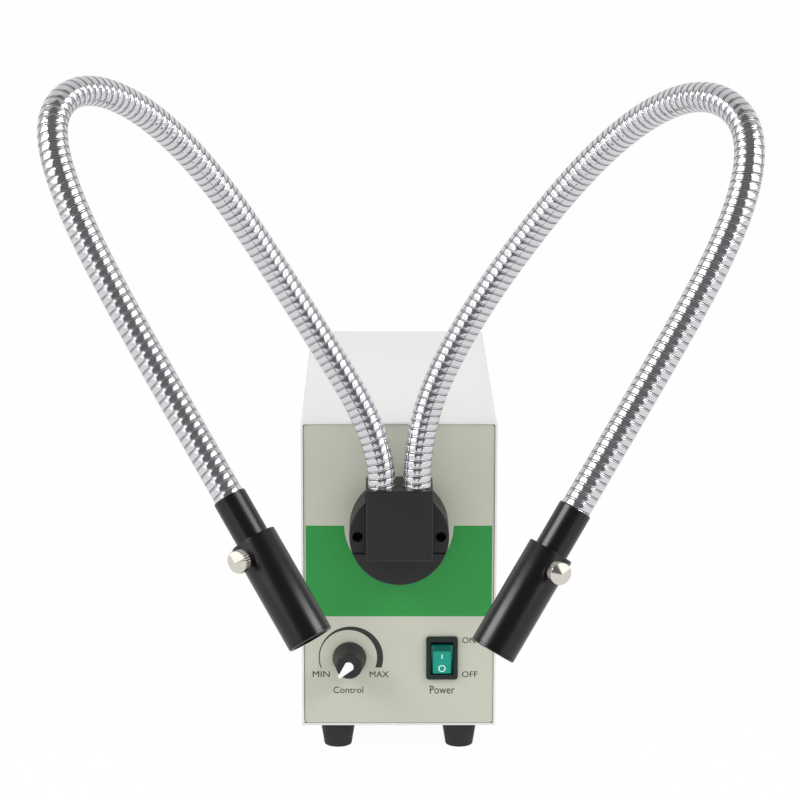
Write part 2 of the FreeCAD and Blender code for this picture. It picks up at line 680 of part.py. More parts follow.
def fan_screw_places():
    """Returns the fan's four corner places on its rear face."""
    reach = FAN_SCREW_SPACING / 2
    return [Vector(across * reach, FAN_BACK, PORT_Z + up * reach) for across in SIDES for up in SIDES]


def make_fan_frame():
    half = SINK_SIDE / 2
    centre = Vector(0, SINK_BACK, PORT_Z)
    frame = block((-half, half), (SINK_BACK, FAN_BACK), (PORT_Z - half, PORT_Z + half))
    frame = round_edges(frame, COVER_BEND, ALONG_Y)
    frame = frame.cut(rod(centre - ALONG_Y * OVERRUN, ALONG_Y, FAN_DEPTH + 2 * OVERRUN, FAN_BORE))
    strut_span = (FAN_BACK - FAN_STRUT_DEPTH, FAN_BACK)
    reach = FAN_BORE + OVERRUN
    frame = frame.fuse(block((-reach, reach), strut_span, (PORT_Z - FAN_STRUT / 2, PORT_Z + FAN_STRUT / 2)))
    frame = frame.fuse(block((-FAN_STRUT / 2, FAN_STRUT / 2), strut_span, (PORT_Z - reach, PORT_Z + reach)))
    frame = frame.fuse(rod(Vector(0, FAN_BACK - FAN_STRUT_DEPTH, PORT_Z), ALONG_Y, FAN_STRUT_DEPTH,
                           FAN_HUB_RADIUS))
    frame = frame.fuse(rod(Vector(0, FAN_BACK - FAN_STRUT_DEPTH - FAN_SPINDLE_LENGTH, PORT_Z), ALONG_Y,
                           FAN_SPINDLE_LENGTH + FAN_STRUT_DEPTH, FAN_SPINDLE_RADIUS))
    for place in fan_screw_places():
        frame = frame.cut(rod(place + ALONG_Y * OVERRUN, FORWARD, FAN_DEPTH + 2 * OVERRUN,
                              SCREW_RADIUS + SCREW_FIT))
    return frame.removeSplitter()


def make_fan_rotor():
    hub_back = FAN_BACK - FAN_STRUT_DEPTH - FAN_TIP_GAP
    hub_front = hub_back - FAN_HUB_DEPTH
    rotor = rod(Vector(0, hub_front, PORT_Z), ALONG_Y, FAN_HUB_DEPTH, FAN_HUB_RADIUS)
    rim = rod(Vector(0, hub_front, PORT_Z), ALONG_Y, FAN_HUB_DEPTH, FAN_BORE - FAN_TIP_GAP)
    blades = []
    for index in range(FAN_BLADE_COUNT):
        blade = Part.makeBox(FAN_BLADE_THICKNESS, FAN_BLADE_WIDTH, FAN_BORE + OVERRUN,
                             Vector(-FAN_BLADE_THICKNESS / 2, -FAN_BLADE_WIDTH / 2, FAN_HUB_RADIUS / 2))
        blade.rotate(Vector(0, 0, 0), ALONG_Z, FAN_BLADE_TILT)
        blade.rotate(Vector(0, 0, 0), ALONG_Y, index * 360 / FAN_BLADE_COUNT)
        blade.translate(Vector(0, (hub_front + hub_back) / 2, PORT_Z))
        blades.append(blade.common(rim))
    rotor = rotor.multiFuse(blades)
    return rotor.cut(rod(Vector(0, hub_back + OVERRUN, PORT_Z), FORWARD, OVERRUN + FAN_SPINDLE_LENGTH,
                         FAN_SPINDLE_RADIUS + FAN_SPINDLE_FIT))


def make_fan_screws():
    return group([pan_screw(place, FORWARD, FAN_DEPTH - SCREW_FIT) for place in fan_screw_places()])


def make_engine_bracket():
    half = SINK_SIDE / 2
    shelf_top = PORT_Z - half
    y_span = (BOARD_BACK + SINK_BASE / 2, BOARD_BACK + SINK_BASE / 2 + BRACKET_DEPTH)
    bracket = block((-half, half), y_span, (shelf_top - BRACKET_SHEET, shelf_top))
    for side in SIDES:
        leg = sorted((side * half, side * (half - BRACKET_SHEET)))
        bracket = bracket.fuse(block(leg, y_span, (CHASSIS_TOP, shelf_top)))
        foot = sorted((side * half, side * (half + BRACKET_FOOT)))
        bracket = bracket.fuse(block(foot, y_span, (CHASSIS_TOP, CHASSIS_TOP + BRACKET_SHEET)))
        hole = Vector(side * (half + BRACKET_FOOT / 2), (y_span[0] + y_span[1]) / 2, CHASSIS_TOP - OVERRUN)
        bracket = bracket.cut(rod(hole, ALONG_Z, BRACKET_SHEET + 2 * OVERRUN, BRACKET_FOOT_SCREW_RADIUS))
    return bracket.removeSplitter()


# Circuit boards and mains inlet

def circuit_board(width, length, start):
    """Returns a board on four standoffs and the height of its top face."""
    board_low = CHASSIS_TOP + STANDOFF_HEIGHT
    pieces = [block((-width / 2, width / 2), (start, start + length), (board_low, board_low + BOARD_THICKNESS))]
    for side in SIDES:
        for depth in (start + STANDOFF_INSET, start + length - STANDOFF_INSET):
            place = Vector(side * (width / 2 - STANDOFF_INSET), depth, CHASSIS_TOP)
            pieces.append(rod(place, ALONG_Z, STANDOFF_HEIGHT, STANDOFF_RADIUS))
    return pieces, board_low + BOARD_THICKNESS


def make_power_supply():
    start = FRONT_PLACE + SUPPLY_START
    pieces, top = circuit_board(SUPPLY_WIDTH, SUPPLY_LENGTH, start)
    middle = start + SUPPLY_LENGTH / 2
    pieces.append(block((-TRANSFORMER_WIDTH / 2, TRANSFORMER_WIDTH / 2),
                        (middle - TRANSFORMER_LENGTH / 2, middle + TRANSFORMER_LENGTH / 2),
                        (top, top + TRANSFORMER_HEIGHT)))
    for side in SIDES:
        place = Vector(side * SUPPLY_WIDTH / 4, start + SUPPLY_LENGTH / 5, top)
        pieces.append(rod(place, ALONG_Z, CAPACITOR_HEIGHT, CAPACITOR_RADIUS))
    fin_start = middle + TRANSFORMER_LENGTH
    pieces.append(block((-SUPPLY_WIDTH / 2 + STANDOFF_INSET, -SUPPLY_WIDTH / 2 + STANDOFF_INSET + REGULATOR_WIDTH),
                        (fin_start, fin_start + REGULATOR_THICKNESS), (top, top + REGULATOR_HEIGHT)))
    return group(pieces)


def make_driver_board():
    start = FRONT_PLACE + DRIVER_START
    pieces, top = circuit_board(DRIVER_WIDTH, DRIVER_LENGTH, start)
    coil = Vector(-DRIVER_WIDTH / 4, start + DRIVER_LENGTH / 3, top)
    pieces.append(tube(coil, ALONG_Z, DRIVER_COIL_HEIGHT, DRIVER_COIL_RADIUS, DRIVER_COIL_RADIUS / 2))
    chip_low = Vector(DRIVER_WIDTH / 8, start + DRIVER_LENGTH / 3, top)
    pieces.append(block((chip_low.x, chip_low.x + DRIVER_CHIP), (chip_low.y, chip_low.y + DRIVER_CHIP),
                        (top, top + DRIVER_CHIP_HEIGHT)))
    return group(pieces)


def make_mains_inlet():
    z = FLOOR + INLET_RISE
    flange_back = REAR_BACK + INLET_FLANGE
    flange = block((INLET_SIDE - INLET_WIDTH / 2, INLET_SIDE + INLET_WIDTH / 2), (REAR_BACK, flange_back),
                   (z - INLET_HEIGHT / 2, z + INLET_HEIGHT / 2))
    flange = round_edges(flange, INLET_CORNER, ALONG_Y)
    body_front = flange_back - INLET_BODY_DEPTH - INLET_FLANGE
    body = block((INLET_SIDE - INLET_BODY_WIDTH / 2, INLET_SIDE + INLET_BODY_WIDTH / 2), (body_front, flange_back),
                 (z - INLET_BODY_HEIGHT / 2, z + INLET_BODY_HEIGHT / 2))
    mouth = block((INLET_SIDE - INLET_MOUTH_WIDTH / 2, INLET_SIDE + INLET_MOUTH_WIDTH / 2),
                  (flange_back - INLET_MOUTH_DEPTH, flange_back + OVERRUN),
                  (z - INLET_MOUTH_HEIGHT / 2, z + INLET_MOUTH_HEIGHT / 2))
    upper = [edge for edge in mouth.Edges
             if edge.BoundBox.ZMin > z and edge.BoundBox.YLength > INLET_MOUTH_DEPTH / 2]
    inlet = flange.fuse(body).cut(mouth.makeChamfer(INLET_CORNER, upper))
    for side in SIDES:
        place = Vector(INLET_SIDE + side * INLET_SCREW_SPACING / 2, REAR_BACK - OVERRUN, z)
        inlet = inlet.cut(rod(place, ALONG_Y, INLET_FLANGE + 2 * OVERRUN, SCREW_RADIUS + SCREW_FIT))
    mouth_floor = flange_back - INLET_MOUTH_DEPTH
    pins = []
    for column, rise in ((-1, -PIN_DROP), (0, PIN_RAISE), (1, -PIN_DROP)):
        x = INLET_SIDE + column * PIN_SPACING
        pins.append(block((x - PIN_THICKNESS / 2, x + PIN_THICKNESS / 2), (mouth_floor, mouth_floor + PIN_LENGTH),
                          (z + rise - PIN_WIDTH / 2, z + rise + PIN_WIDTH / 2)))
    return group([inlet.removeSplitter()] + pins)


# Dimmer

def make_dimmer_body():
    centre = Vector(-KNOB_SIDE, WALL_BACK, CONTROL_Z)
    body = rod(centre, ALONG_Y, DIMMER_DEPTH, DIMMER_RADIUS)
    body = body.fuse(rod(centre, FORWARD, BUSH_LENGTH, BUSH_RADIUS))
    bore_start = centre + FORWARD * (BUSH_LENGTH + OVERRUN)
    body = body.cut(rod(bore_start, ALONG_Y, BUSH_LENGTH + OVERRUN + SHAFT_ROOT + SHAFT_FIT,
                        SHAFT_RADIUS + SHAFT_FIT))
    for column in (-1, 0, 1):
        x = -KNOB_SIDE + column * DIMMER_TAB_SPACING
        y_span = (WALL_BACK + DIMMER_DEPTH / 2, WALL_BACK + DIMMER_DEPTH / 2 + DIMMER_TAB_THICKNESS)
        body = body.fuse(block((x - DIMMER_TAB_WIDTH / 2, x + DIMMER_TAB_WIDTH / 2), y_span,
                               (CONTROL_Z - DIMMER_RADIUS - DIMMER_TAB_LENGTH, CONTROL_Z - DIMMER_RADIUS / 2)))
    return body


def make_dimmer_nut():
    seat = Vector(-KNOB_SIDE, PANEL_FRONT, CONTROL_Z)
    return hexagon(seat, FORWARD, BUSH_NUT_ACROSS, BUSH_NUT_HEIGHT, BUSH_RADIUS + SHAFT_FIT)


def make_dimmer_shaft():
    front = PANEL_FRONT - KNOB_GAP - KNOB_LENGTH + KNOB_WALL
    start = Vector(-KNOB_SIDE, WALL_BACK + SHAFT_ROOT, CONTROL_Z)
    shaft = rod(start, FORWARD, start.y - front, SHAFT_RADIUS)
    flat_z = CONTROL_Z + SHAFT_RADIUS - SHAFT_FLAT
    flat_back = PANEL_FRONT - KNOB_GAP - KNOB_RECESS_DEPTH
    return shaft.cut(block((-KNOB_SIDE - SHAFT_RADIUS - OVERRUN, -KNOB_SIDE + SHAFT_RADIUS + OVERRUN),
                           (front - OVERRUN, flat_back), (flat_z, flat_z + SHAFT_RADIUS)))


def make_knob():
    outline = [(0, 0), (KNOB_RADIUS, 0), (KNOB_RADIUS - KNOB_TAPER, KNOB_LENGTH), (0, KNOB_LENGTH)]
    knob = turned(outline)
    rim = [edge for edge in knob.Edges
           if isinstance(edge.Curve, Part.Circle) and edge.Curve.Center.z > KNOB_LENGTH / 2]
    knob = knob.makeFillet(KNOB_EDGE, rim)
    knob = knob.cut(rod(Vector(0, 0, -OVERRUN), ALONG_Z, OVERRUN + KNOB_RECESS_DEPTH, KNOB_RECESS_RADIUS))
    bore = rod(Vector(0, 0, 0), ALONG_Z, KNOB_LENGTH - KNOB_WALL + SHAFT_FIT, SHAFT_RADIUS + SHAFT_FIT)
    flat_place = SHAFT_RADIUS - SHAFT_FLAT + SHAFT_FIT
    web = block((-SHAFT_RADIUS - OVERRUN, SHAFT_RADIUS + OVERRUN), (flat_place, SHAFT_RADIUS + OVERRUN),
                (KNOB_RECESS_DEPTH, KNOB_LENGTH))
    knob = knob.cut(bore.cut(web))
    knob = knob.cut(pointer_blank(POINTER_PROUD))
    return place_on_knob(knob)


def pointer_blank(height):
    """Returns the teardrop pointer at the knob's front face, tip towards -Y, before it is placed."""
    low = KNOB_LENGTH - POINTER_SINK
    reach = POINTER_TIP_OFFSET - POINTER_HUB_OFFSET
    lean = math.asin((POINTER_HUB_RADIUS - POINTER_TIP_RADIUS) / reach)
    turn = math.radians(POINTER_ANGLE)

    def at(radius, offset, side):
        across = side * radius * math.cos(lean)
        along = offset + radius * math.sin(lean)
        return Vector(across * math.cos(turn) - along * math.sin(turn),
                      -across * math.sin(turn) - along * math.cos(turn), low)

    def crown(radius, offset):
        along = offset + (radius if offset == POINTER_TIP_OFFSET else -radius)
        return Vector(-along * math.sin(turn), -along * math.cos(turn), low)

    hub_right = at(POINTER_HUB_RADIUS, POINTER_HUB_OFFSET, 1)
    hub_left = at(POINTER_HUB_RADIUS, POINTER_HUB_OFFSET, -1)
    tip_right = at(POINTER_TIP_RADIUS, POINTER_TIP_OFFSET, 1)
    tip_left = at(POINTER_TIP_RADIUS, POINTER_TIP_OFFSET, -1)
    edges = [Part.Arc(hub_right, crown(POINTER_HUB_RADIUS, POINTER_HUB_OFFSET), hub_left).toShape(),
             Part.makeLine(hub_left, tip_left),
             Part.Arc(tip_left, crown(POINTER_TIP_RADIUS, POINTER_TIP_OFFSET), tip_right).toShape(),
             Part.makeLine(tip_right, hub_right)]
    return Part.Face(Part.Wire(edges)).extrude(ALONG_Z * (POINTER_SINK + height))


def place_on_knob(shape):
    """Turns a piece from the knob's own axis, +Z to the front and +Y up, to its place on the panel."""
    place = Vector(-KNOB_SIDE, PANEL_FRONT - KNOB_GAP, CONTROL_Z)
    shape.Placement = Placement(place, Rotation(ALONG_X, ALONG_Z, FORWARD, "ZXY"))
    return shape


def make_knob_pointer():
    return place_on_knob(pointer_blank(POINTER_PROUD))


# Rocker switch

def switch_pivot():
    """Returns the rocker's pivot place."""
    return Vector(SWITCH_SIDE, PANEL_FRONT - BEZEL_THICKNESS + ROCKER_PIVOT_DEPTH, CONTROL_Z)


def make_switch_body():
    bezel_front = PANEL_FRONT - BEZEL_THICKNESS
    bezel = block((SWITCH_SIDE - BEZEL_WIDTH / 2, SWITCH_SIDE + BEZEL_WIDTH / 2), (bezel_front, PANEL_FRONT),
                  (CONTROL_Z - BEZEL_HEIGHT / 2, CONTROL_Z + BEZEL_HEIGHT / 2))
    bezel = round_edges(bezel, BEZEL_CORNER, ALONG_Y)
    rim = [edge for edge in bezel.Edges if edge.BoundBox.YMax < bezel_front + BEZEL_EDGE / 10]
    bezel = bezel.makeFillet(BEZEL_EDGE, rim)
    body = block((SWITCH_SIDE - SWITCH_WIDTH / 2, SWITCH_SIDE + SWITCH_WIDTH / 2),
                 (PANEL_FRONT, PANEL_FRONT + SWITCH_DEPTH),
                 (CONTROL_Z - SWITCH_HEIGHT / 2, CONTROL_Z + SWITCH_HEIGHT / 2))
    switch = bezel.fuse(body)
    switch = switch.cut(block((SWITCH_SIDE - WINDOW_WIDTH / 2, SWITCH_SIDE + WINDOW_WIDTH / 2),
                              (bezel_front - OVERRUN, bezel_front + WINDOW_DEPTH),
                              (CONTROL_Z - WINDOW_HEIGHT / 2, CONTROL_Z + WINDOW_HEIGHT / 2)))
    pin_start = switch_pivot() - ALONG_X * (WINDOW_WIDTH / 2 + ROCKER_PIN_RADIUS / 2)
    switch = switch.fuse(rod(pin_start, ALONG_X, WINDOW_WIDTH + ROCKER_PIN_RADIUS, ROCKER_PIN_RADIUS))
    back = PANEL_FRONT + SWITCH_DEPTH
    for row in SIDES:
        z = CONTROL_Z + row * SPADE_SPACING / 2
        switch = switch.fuse(block((SWITCH_SIDE - SPADE_WIDTH / 2, SWITCH_SIDE + SPADE_WIDTH / 2),
                                   (back - OVERRUN, back + SPADE_LENGTH),
                                   (z - SPADE_THICKNESS / 2, z + SPADE_THICKNESS / 2)))
    return switch.removeSplitter()


def make_rocker():
    pivot = switch_pivot()
    half = WINDOW_WIDTH / 2 - ROCKER_GAP
    corners = [(-ROCKER_LOW_FRONT, -ROCKER_LOW_END), (-ROCKER_VALLEY, -ROCKER_VALLEY_DROP),
               (-ROCKER_RIDGE, ROCKER_RIDGE_RISE), (-ROCKER_HIGH_FRONT, ROCKER_HIGH_END),
               (ROCKER_BACK, ROCKER_BACK_END), (ROCKER_BACK, -ROCKER_BACK_END)]
    points = [Vector(pivot.x - half, pivot.y + y, pivot.z + z) for y, z in corners]
    rocker = Part.Face(Part.makePolygon(points + points[:1])).extrude(ALONG_X * (2 * half))
    rocker = rocker.cut(rod(pivot - ALONG_X * WINDOW_WIDTH, ALONG_X, 2 * WINDOW_WIDTH,
                            ROCKER_PIN_RADIUS + ROCKER_PIN_FIT))
    rocker.rotate(pivot, ALONG_X, ROCKER_TILT)
    return rocker


# Light guide head

def neck_roots():
    """Returns where each neck leaves the head's roof."""
    return [Vector(side * NECK_SPREAD / 2, NECK_PLACE, HEAD_TOP) for side in SIDES]


def make_head_block():
    half = HEAD_WIDTH / 2
    head = block((-half, half), (HEAD_FRONT, HEAD_BACK), (HEAD_LOW, HEAD_TOP))
    head = head.makeChamfer(HEAD_EDGE, head.Edges)
    inside = half - HEAD_SIDE_WALL
    head = head.cut(block((-inside, inside), (HEAD_FRONT + HEAD_FRONT_WALL, HEAD_BACK - HEAD_REAR_WALL),
                          (HEAD_LOW + HEAD_SIDE_WALL, HEAD_TOP - HEAD_ROOF)))
    head = head.cut(rod(Vector(0, HEAD_BACK + OVERRUN, PORT_Z), FORWARD, HEAD_REAR_WALL + 2 * OVERRUN,
                        PLUG_RADIUS - PLUG_WALL))
    for root in neck_roots():
        head = head.cut(rod(root + ALONG_Z * OVERRUN, ALONG_Z * -1, OVERRUN + HEAD_ROOF + OVERRUN, HOSE_BORE))
        head = head.cut(rod(root + ALONG_Z * OVERRUN, ALONG_Z * -1, OVERRUN + ROOT_SEAT, shoulder_radius()))
    return head


def make_guide_plug():
    plug = tube(Vector(0, HEAD_BACK, PORT_Z), ALONG_Y, PLUG_REACH, PLUG_RADIUS, PLUG_RADIUS - PLUG_WALL)
    return break_rims(plug, TIP_EDGE, [HEAD_BACK + PLUG_REACH], ALONG_Y)


def make_head_bundle():
    radius = PLUG_RADIUS - PLUG_WALL - BUNDLE_FIT
    front = NECK_PLACE - FIBRE_RADIUS
    bundle = rod(Vector(0, HEAD_BACK + PLUG_REACH, PORT_Z), FORWARD, HEAD_BACK + PLUG_REACH - front, radius)
    for root in neck_roots():
        low = Vector(root.x, root.y, PORT_Z)
        top = HEAD_TOP + ROOT_RISE + BALL_END
        bundle = bundle.fuse(rod(low, ALONG_Z, top - PORT_Z, FIBRE_RADIUS))
    return bundle


def make_neck_collars():
    collars = []
    for root in neck_roots():
        ball = Part.makeSphere(BALL_RADIUS, Vector(0, 0, ROOT_RISE))
        reach = BALL_RADIUS + OVERRUN
        ball = ball.common(block((-reach, reach), (-reach, reach),
                                 (ROOT_RISE - BALL_SHOULDER, ROOT_RISE + BALL_END)))
        stem = rod(Vector(0, 0, -ROOT_SEAT), ALONG_Z, ROOT_SEAT + SHOULDER_SLOPE, shoulder_radius())
        collar = ball.fuse(stem)
        collar = collar.cut(rod(Vector(0, 0, -ROOT_SEAT - OVERRUN), ALONG_Z,
                                ROOT_SEAT + ROOT_RISE + BALL_END + 2 * OVERRUN, HOSE_BORE))
        collar.translate(root)
        collars.append(collar)
    return group(collars)


# Goosenecks

def shoulder_radius():
    """Returns the ball's radius where it leaves its shoulder."""
    return math.sqrt(BALL_RADIUS ** 2 - BALL_SHOULDER ** 2)


def ring(frame, offset, radius):
    """Returns a round wire square to the route, a stated way along a frame's tangent."""
    point, axis, across = frame
    wire = Part.Wire([Part.makeCircle(radius)])
    wire.Placement = Placement(point + axis * offset, Rotation(across, axis.cross(across), axis, "ZXY"))
    return wire


class Neck:
    """One self-holding gooseneck: a route, its joints and its segments."""

    def __init__(self, side, shares):
        self.side = side
        root = Vector(side * NECK_SPREAD / 2, NECK_PLACE, HEAD_TOP)
        poles = [root + Vector(side * outward, -forward, upward) * NECK_RISE for outward, forward, upward in shares]
        self.curve = Part.BSplineCurve()
        self.curve.buildFromPoles(poles, False, 3)
        self.length = self.curve.length()
        self.across = Vector(side * NECK_PLANE_SHARES[0], NECK_PLANE_SHARES[1], NECK_PLANE_SHARES[2])
        reach = (self.length - ROOT_RISE) / SEGMENT_COUNT
        self.joints = [ROOT_RISE + index * reach for index in range(SEGMENT_COUNT)]

    def frame(self, distance):
        """Returns the point, tangent and steady cross axis at a distance along the route."""
        parameter = self.curve.parameterAtDistance(distance, self.curve.FirstParameter)
        axis = Vector(*self.curve.tangent(parameter)[0]).normalize()
        across = (self.across - axis * self.across.dot(axis)).normalize()
        return self.curve.value(parameter), axis, across

    def hose_end(self, index):
        """Returns where a segment's ribs end."""
        if index == SEGMENT_COUNT - 1:
            return self.length
        return self.joints[index + 1] - BALL_SHOULDER - SHOULDER_SLOPE

    def outer_rings(self, index):
        """Returns the ribbed outside of a segment, with the ball at its far end."""
        start = self.joints[index]
        end = self.hose_end(index)
        count = round((end - start) / RIB_PITCH)
        pitch = (end - start) / count
        rings = [ring(self.frame(start), 0, HOSE_RADIUS)]
        for rib in range(count):
            low = start + rib * pitch
            for share, radius in ((RIB_SEAM_SHARE / 2, HOSE_SEAM_RADIUS), (RIB_SEAM_SHARE, HOSE_SEAM_RADIUS),
                                  (RIB_STEP_SHARE, HOSE_RADIUS), (RIB_CREST_SHARE, HOSE_RADIUS)):
                rings.append(ring(self.frame(low + share * pitch), 0, radius))
        rings.append(ring(self.frame(end), 0, HOSE_RADIUS))
        if index < SEGMENT_COUNT - 1:
            joint = self.frame(self.joints[index + 1])
            rings += [ring(joint, offset, math.sqrt(BALL_RADIUS ** 2 - offset ** 2)) for offset in ball_offsets()]
        return rings

    def bore_frames(self, index):
        """Returns the frames and offsets of a segment's bore, straight where it passes a joint."""
        joint = self.frame(self.joints[index])
        start = self.joints[index] + CUP_RADIUS
        stations = [(joint, cup_depth()), (joint, CUP_RADIUS)]
        end = self.hose_end(index) - SHOULDER_SLOPE
        steps = math.ceil((end - start) / BORE_STEP)
        stations += [(self.frame(start + (end - start) * step / steps), 0) for step in range(1, steps)]
        if index < SEGMENT_COUNT - 1:
            far = self.frame(self.joints[index + 1])
            stations += [(far, -BALL_SHOULDER), (far, BALL_END)]
        else:
            stations.append((self.frame(self.length), 0))
        return stations

    def hose(self, index):
        """Returns one ribbed hose segment with its cup, bore and ball."""
        outside = Part.makeLoft(self.outer_rings(index), True, True)
        joint = self.frame(self.joints[index])
        turns = [math.asin(cup_depth() / CUP_RADIUS) * step / BALL_RING_COUNT for step in range(BALL_RING_COUNT)]
        rings = [ring(joint, -OVERRUN, CUP_RADIUS)]
        rings += [ring(joint, CUP_RADIUS * math.sin(turn), CUP_RADIUS * math.cos(turn)) for turn in turns]
        stations = self.bore_frames(index)
        rings += [ring(frame, offset, HOSE_BORE) for frame, offset in stations]
        last_frame, last_offset = stations[-1]
        rings.append(ring(last_frame, last_offset + OVERRUN, HOSE_BORE))
        return outside.cut(Part.makeLoft(rings, True, True))

    def fibre(self, index):
        """Returns the glass fibre bundle inside one segment."""
        joint = self.frame(self.joints[index])
        stations = [(joint, FIBRE_START)] + self.bore_frames(index)[1:]
        rings = [ring(frame, offset, FIBRE_RADIUS) for frame, offset in stations]
        if index == SEGMENT_COUNT - 1:
            last = self.frame(self.length)
            rings.append(ring(last, SLEEVE_SHOWN + SLEEVE_INSIDE, FIBRE_RADIUS))
        return Part.makeLoft(rings, True, True)

    def tip_placement(self):
        """Returns the tip's frame: +Z along the barrel, +X to the front."""
        point, axis, _ = self.frame(self.length)
        front = (FORWARD - axis * FORWARD.dot(axis)).normalize()
        return Placement(point, Rotation(front, axis.cross(front), axis, "ZXY"))

    def joint_axis(self, index):
        """Returns a joint's axis at rest: side lean, nod and the bend's own plane by turns."""
        point, axis, _ = self.frame(self.joints[index])
        parameter = self.curve.parameter(point)
        bend = axis.cross(self.curve.getD2(parameter)[2]).normalize()
        nod = axis.cross(FORWARD).normalize()
        choices = [ALONG_Y * self.side, nod * -1, bend * -1, bend, nod]
        return choices[index]


def cup_depth():
    """Returns how far past a joint's centre the cup meets the bore."""
    return math.sqrt(CUP_RADIUS ** 2 - HOSE_BORE ** 2)


def ball_offsets():
    """Returns the places of the ball's rings along its axis, evenly turned about its centre."""
    low = -math.asin(BALL_SHOULDER / BALL_RADIUS)
    high = math.asin(BALL_END / BALL_RADIUS)
    return [BALL_RADIUS * math.sin(low + (high - low) * step / (BALL_RING_COUNT - 1))
            for step in range(BALL_RING_COUNT)]


# Guide tips

def make_sleeve(neck):
    outline_length = SLEEVE_SHOWN + SLEEVE_INSIDE
    sleeve = rod(Vector(0, 0, -SLEEVE_SOCKET), ALONG_Z, SLEEVE_SOCKET + outline_length, SLEEVE_RADIUS)
    sleeve = break_rims(sleeve, TIP_EDGE, [-SLEEVE_SOCKET, outline_length], ALONG_Z)
    sleeve = sleeve.cut(rod(Vector(0, 0, -SLEEVE_SOCKET - OVERRUN), ALONG_Z, SLEEVE_SOCKET + OVERRUN,
                            HOSE_RADIUS + SLEEVE_SOCKET_FIT))
    sleeve = sleeve.cut(rod(Vector(0, 0, -OVERRUN), ALONG_Z, outline_length + 2 * OVERRUN, HOSE_BORE))
    sleeve.Placement = neck.tip_placement()
    return sleeve


def make_barrel(neck, thumb_turn):
    top = SLEEVE_SHOWN
    bottom = top + BARREL_LENGTH
    barrel = rod(Vector(0, 0, top), ALONG_Z, BARREL_LENGTH, BARREL_RADIUS)
    barrel = break_rims(barrel, TIP_EDGE, [top, bottom], ALONG_Z)
    barrel = barrel.cut(rod(Vector(0, 0, top - OVERRUN), ALONG_Z, OVERRUN + BARREL_GUIDE,
                            SLEEVE_RADIUS + BARREL_FIT))
    barrel = barrel.cut(rod(Vector(0, 0, top), ALONG_Z, BARREL_LENGTH + OVERRUN, BARREL_MOUTH_RADIUS).cut(
        rod(Vector(0, 0, top - OVERRUN), ALONG_Z, OVERRUN + BARREL_GUIDE, BARREL_RADIUS)))
    groove_start = bottom - TIP_LENS_SEAT - TIP_LENS_RIM - TIP_LENS_CROWN_ROOM
    barrel = barrel.cut(rod(Vector(0, 0, groove_start), ALONG_Z, TIP_LENS_CROWN_ROOM + TIP_LENS_RIM + TIP_LENS_FIT,
                            TIP_LENS_RADIUS + TIP_LENS_FIT))
    hole = rod(Vector(0, 0, top + THUMB_DROP), thumb_direction(thumb_turn), BARREL_RADIUS + OVERRUN,
               THUMB_STEM_RADIUS + THUMB_STEM_FIT)
    barrel = barrel.cut(hole)
    barrel.Placement = neck.tip_placement()
    return barrel


def make_tip_lens(neck):
    lens = crowned_lens(TIP_LENS_RADIUS, TIP_LENS_RIM, TIP_LENS_CROWN)
    lens.rotate(Vector(0, 0, 0), ALONG_X, 180)
    lens.translate(Vector(0, 0, SLEEVE_SHOWN + BARREL_LENGTH - TIP_LENS_SEAT))
    lens.Placement = neck.tip_placement().multiply(lens.Placement)
    return lens


def thumb_direction(turn):
    """Returns a thumbscrew's direction in the tip's frame, turned from the front."""
    return Vector(math.cos(math.radians(turn)), math.sin(math.radians(turn)), 0)


def make_thumbscrew(neck, thumb_turn):
    stem_start = SLEEVE_RADIUS + THUMB_TIP_GAP
    head_start = BARREL_RADIUS + THUMB_STAND
    head_end = head_start + THUMB_HEAD_HEIGHT
    outline = [(0, stem_start), (THUMB_STEM_RADIUS, stem_start), (THUMB_STEM_RADIUS, head_start),
               (THUMB_NECK_RADIUS, head_start),
               (THUMB_HEAD_RADIUS - THUMB_EDGE, head_start + THUMB_BACK_SLOPE),
               (THUMB_HEAD_RADIUS, head_start + THUMB_BACK_SLOPE + THUMB_EDGE),
               (THUMB_HEAD_RADIUS, head_end - THUMB_EDGE),
               (THUMB_HEAD_RADIUS - THUMB_EDGE, head_end), (0, head_end + THUMB_CONE_RISE)]
    screw = turned(outline)
    cutters = []
    for index in range(KNURL_COUNT):
        angle = 2 * math.pi * index / KNURL_COUNT
        half = math.pi * THUMB_HEAD_RADIUS / KNURL_COUNT * KNURL_WIDTH_SHARE
        corners = [Vector(THUMB_HEAD_RADIUS - KNURL_DEPTH, 0, head_start), Vector(THUMB_HEAD_RADIUS, half, head_start),
                   Vector(THUMB_HEAD_RADIUS, -half, head_start)]
        corners = corners[:1] + [corner + ALONG_X * KNURL_DEPTH for corner in corners[1:]]
        cutter = Part.Face(Part.makePolygon(corners + corners[:1])).extrude(ALONG_Z * THUMB_HEAD_HEIGHT)
        cutter.rotate(Vector(0, 0, 0), ALONG_Z, math.degrees(angle))
        cutters.append(cutter)
    screw = screw.cut(Part.makeCompound(cutters))
    axis_place = Vector(0, 0, SLEEVE_SHOWN + THUMB_DROP)
    screw.Placement = neck.tip_placement().multiply(
        Placement(axis_place, Rotation(ALONG_Z, thumb_direction(thumb_turn))))
    return screw


def report_joints(neck, name, thumb_turn):
    """Prints each joint's place and axis, for the record."""
    for index in range(SEGMENT_COUNT):
        point = neck.frame(neck.joints[index])[0]
        axis = neck.joint_axis(index)
        print("joint", name, index + 1, [round(value, 4) for value in point], [round(value, 6) for value in axis])
    tip = neck.tip_placement()
    print("tip", name, [round(value, 4) for value in tip.Base],
          [round(value, 6) for value in tip.Rotation.multVec(ALONG_Z)])
    screw_place = tip.multVec(Vector(0, 0, SLEEVE_SHOWN + THUMB_DROP))
    print("thumb", name, [round(value, 4) for value in screw_place],
          [round(value, 6) for value in tip.Rotation.multVec(thumb_direction(thumb_turn))])


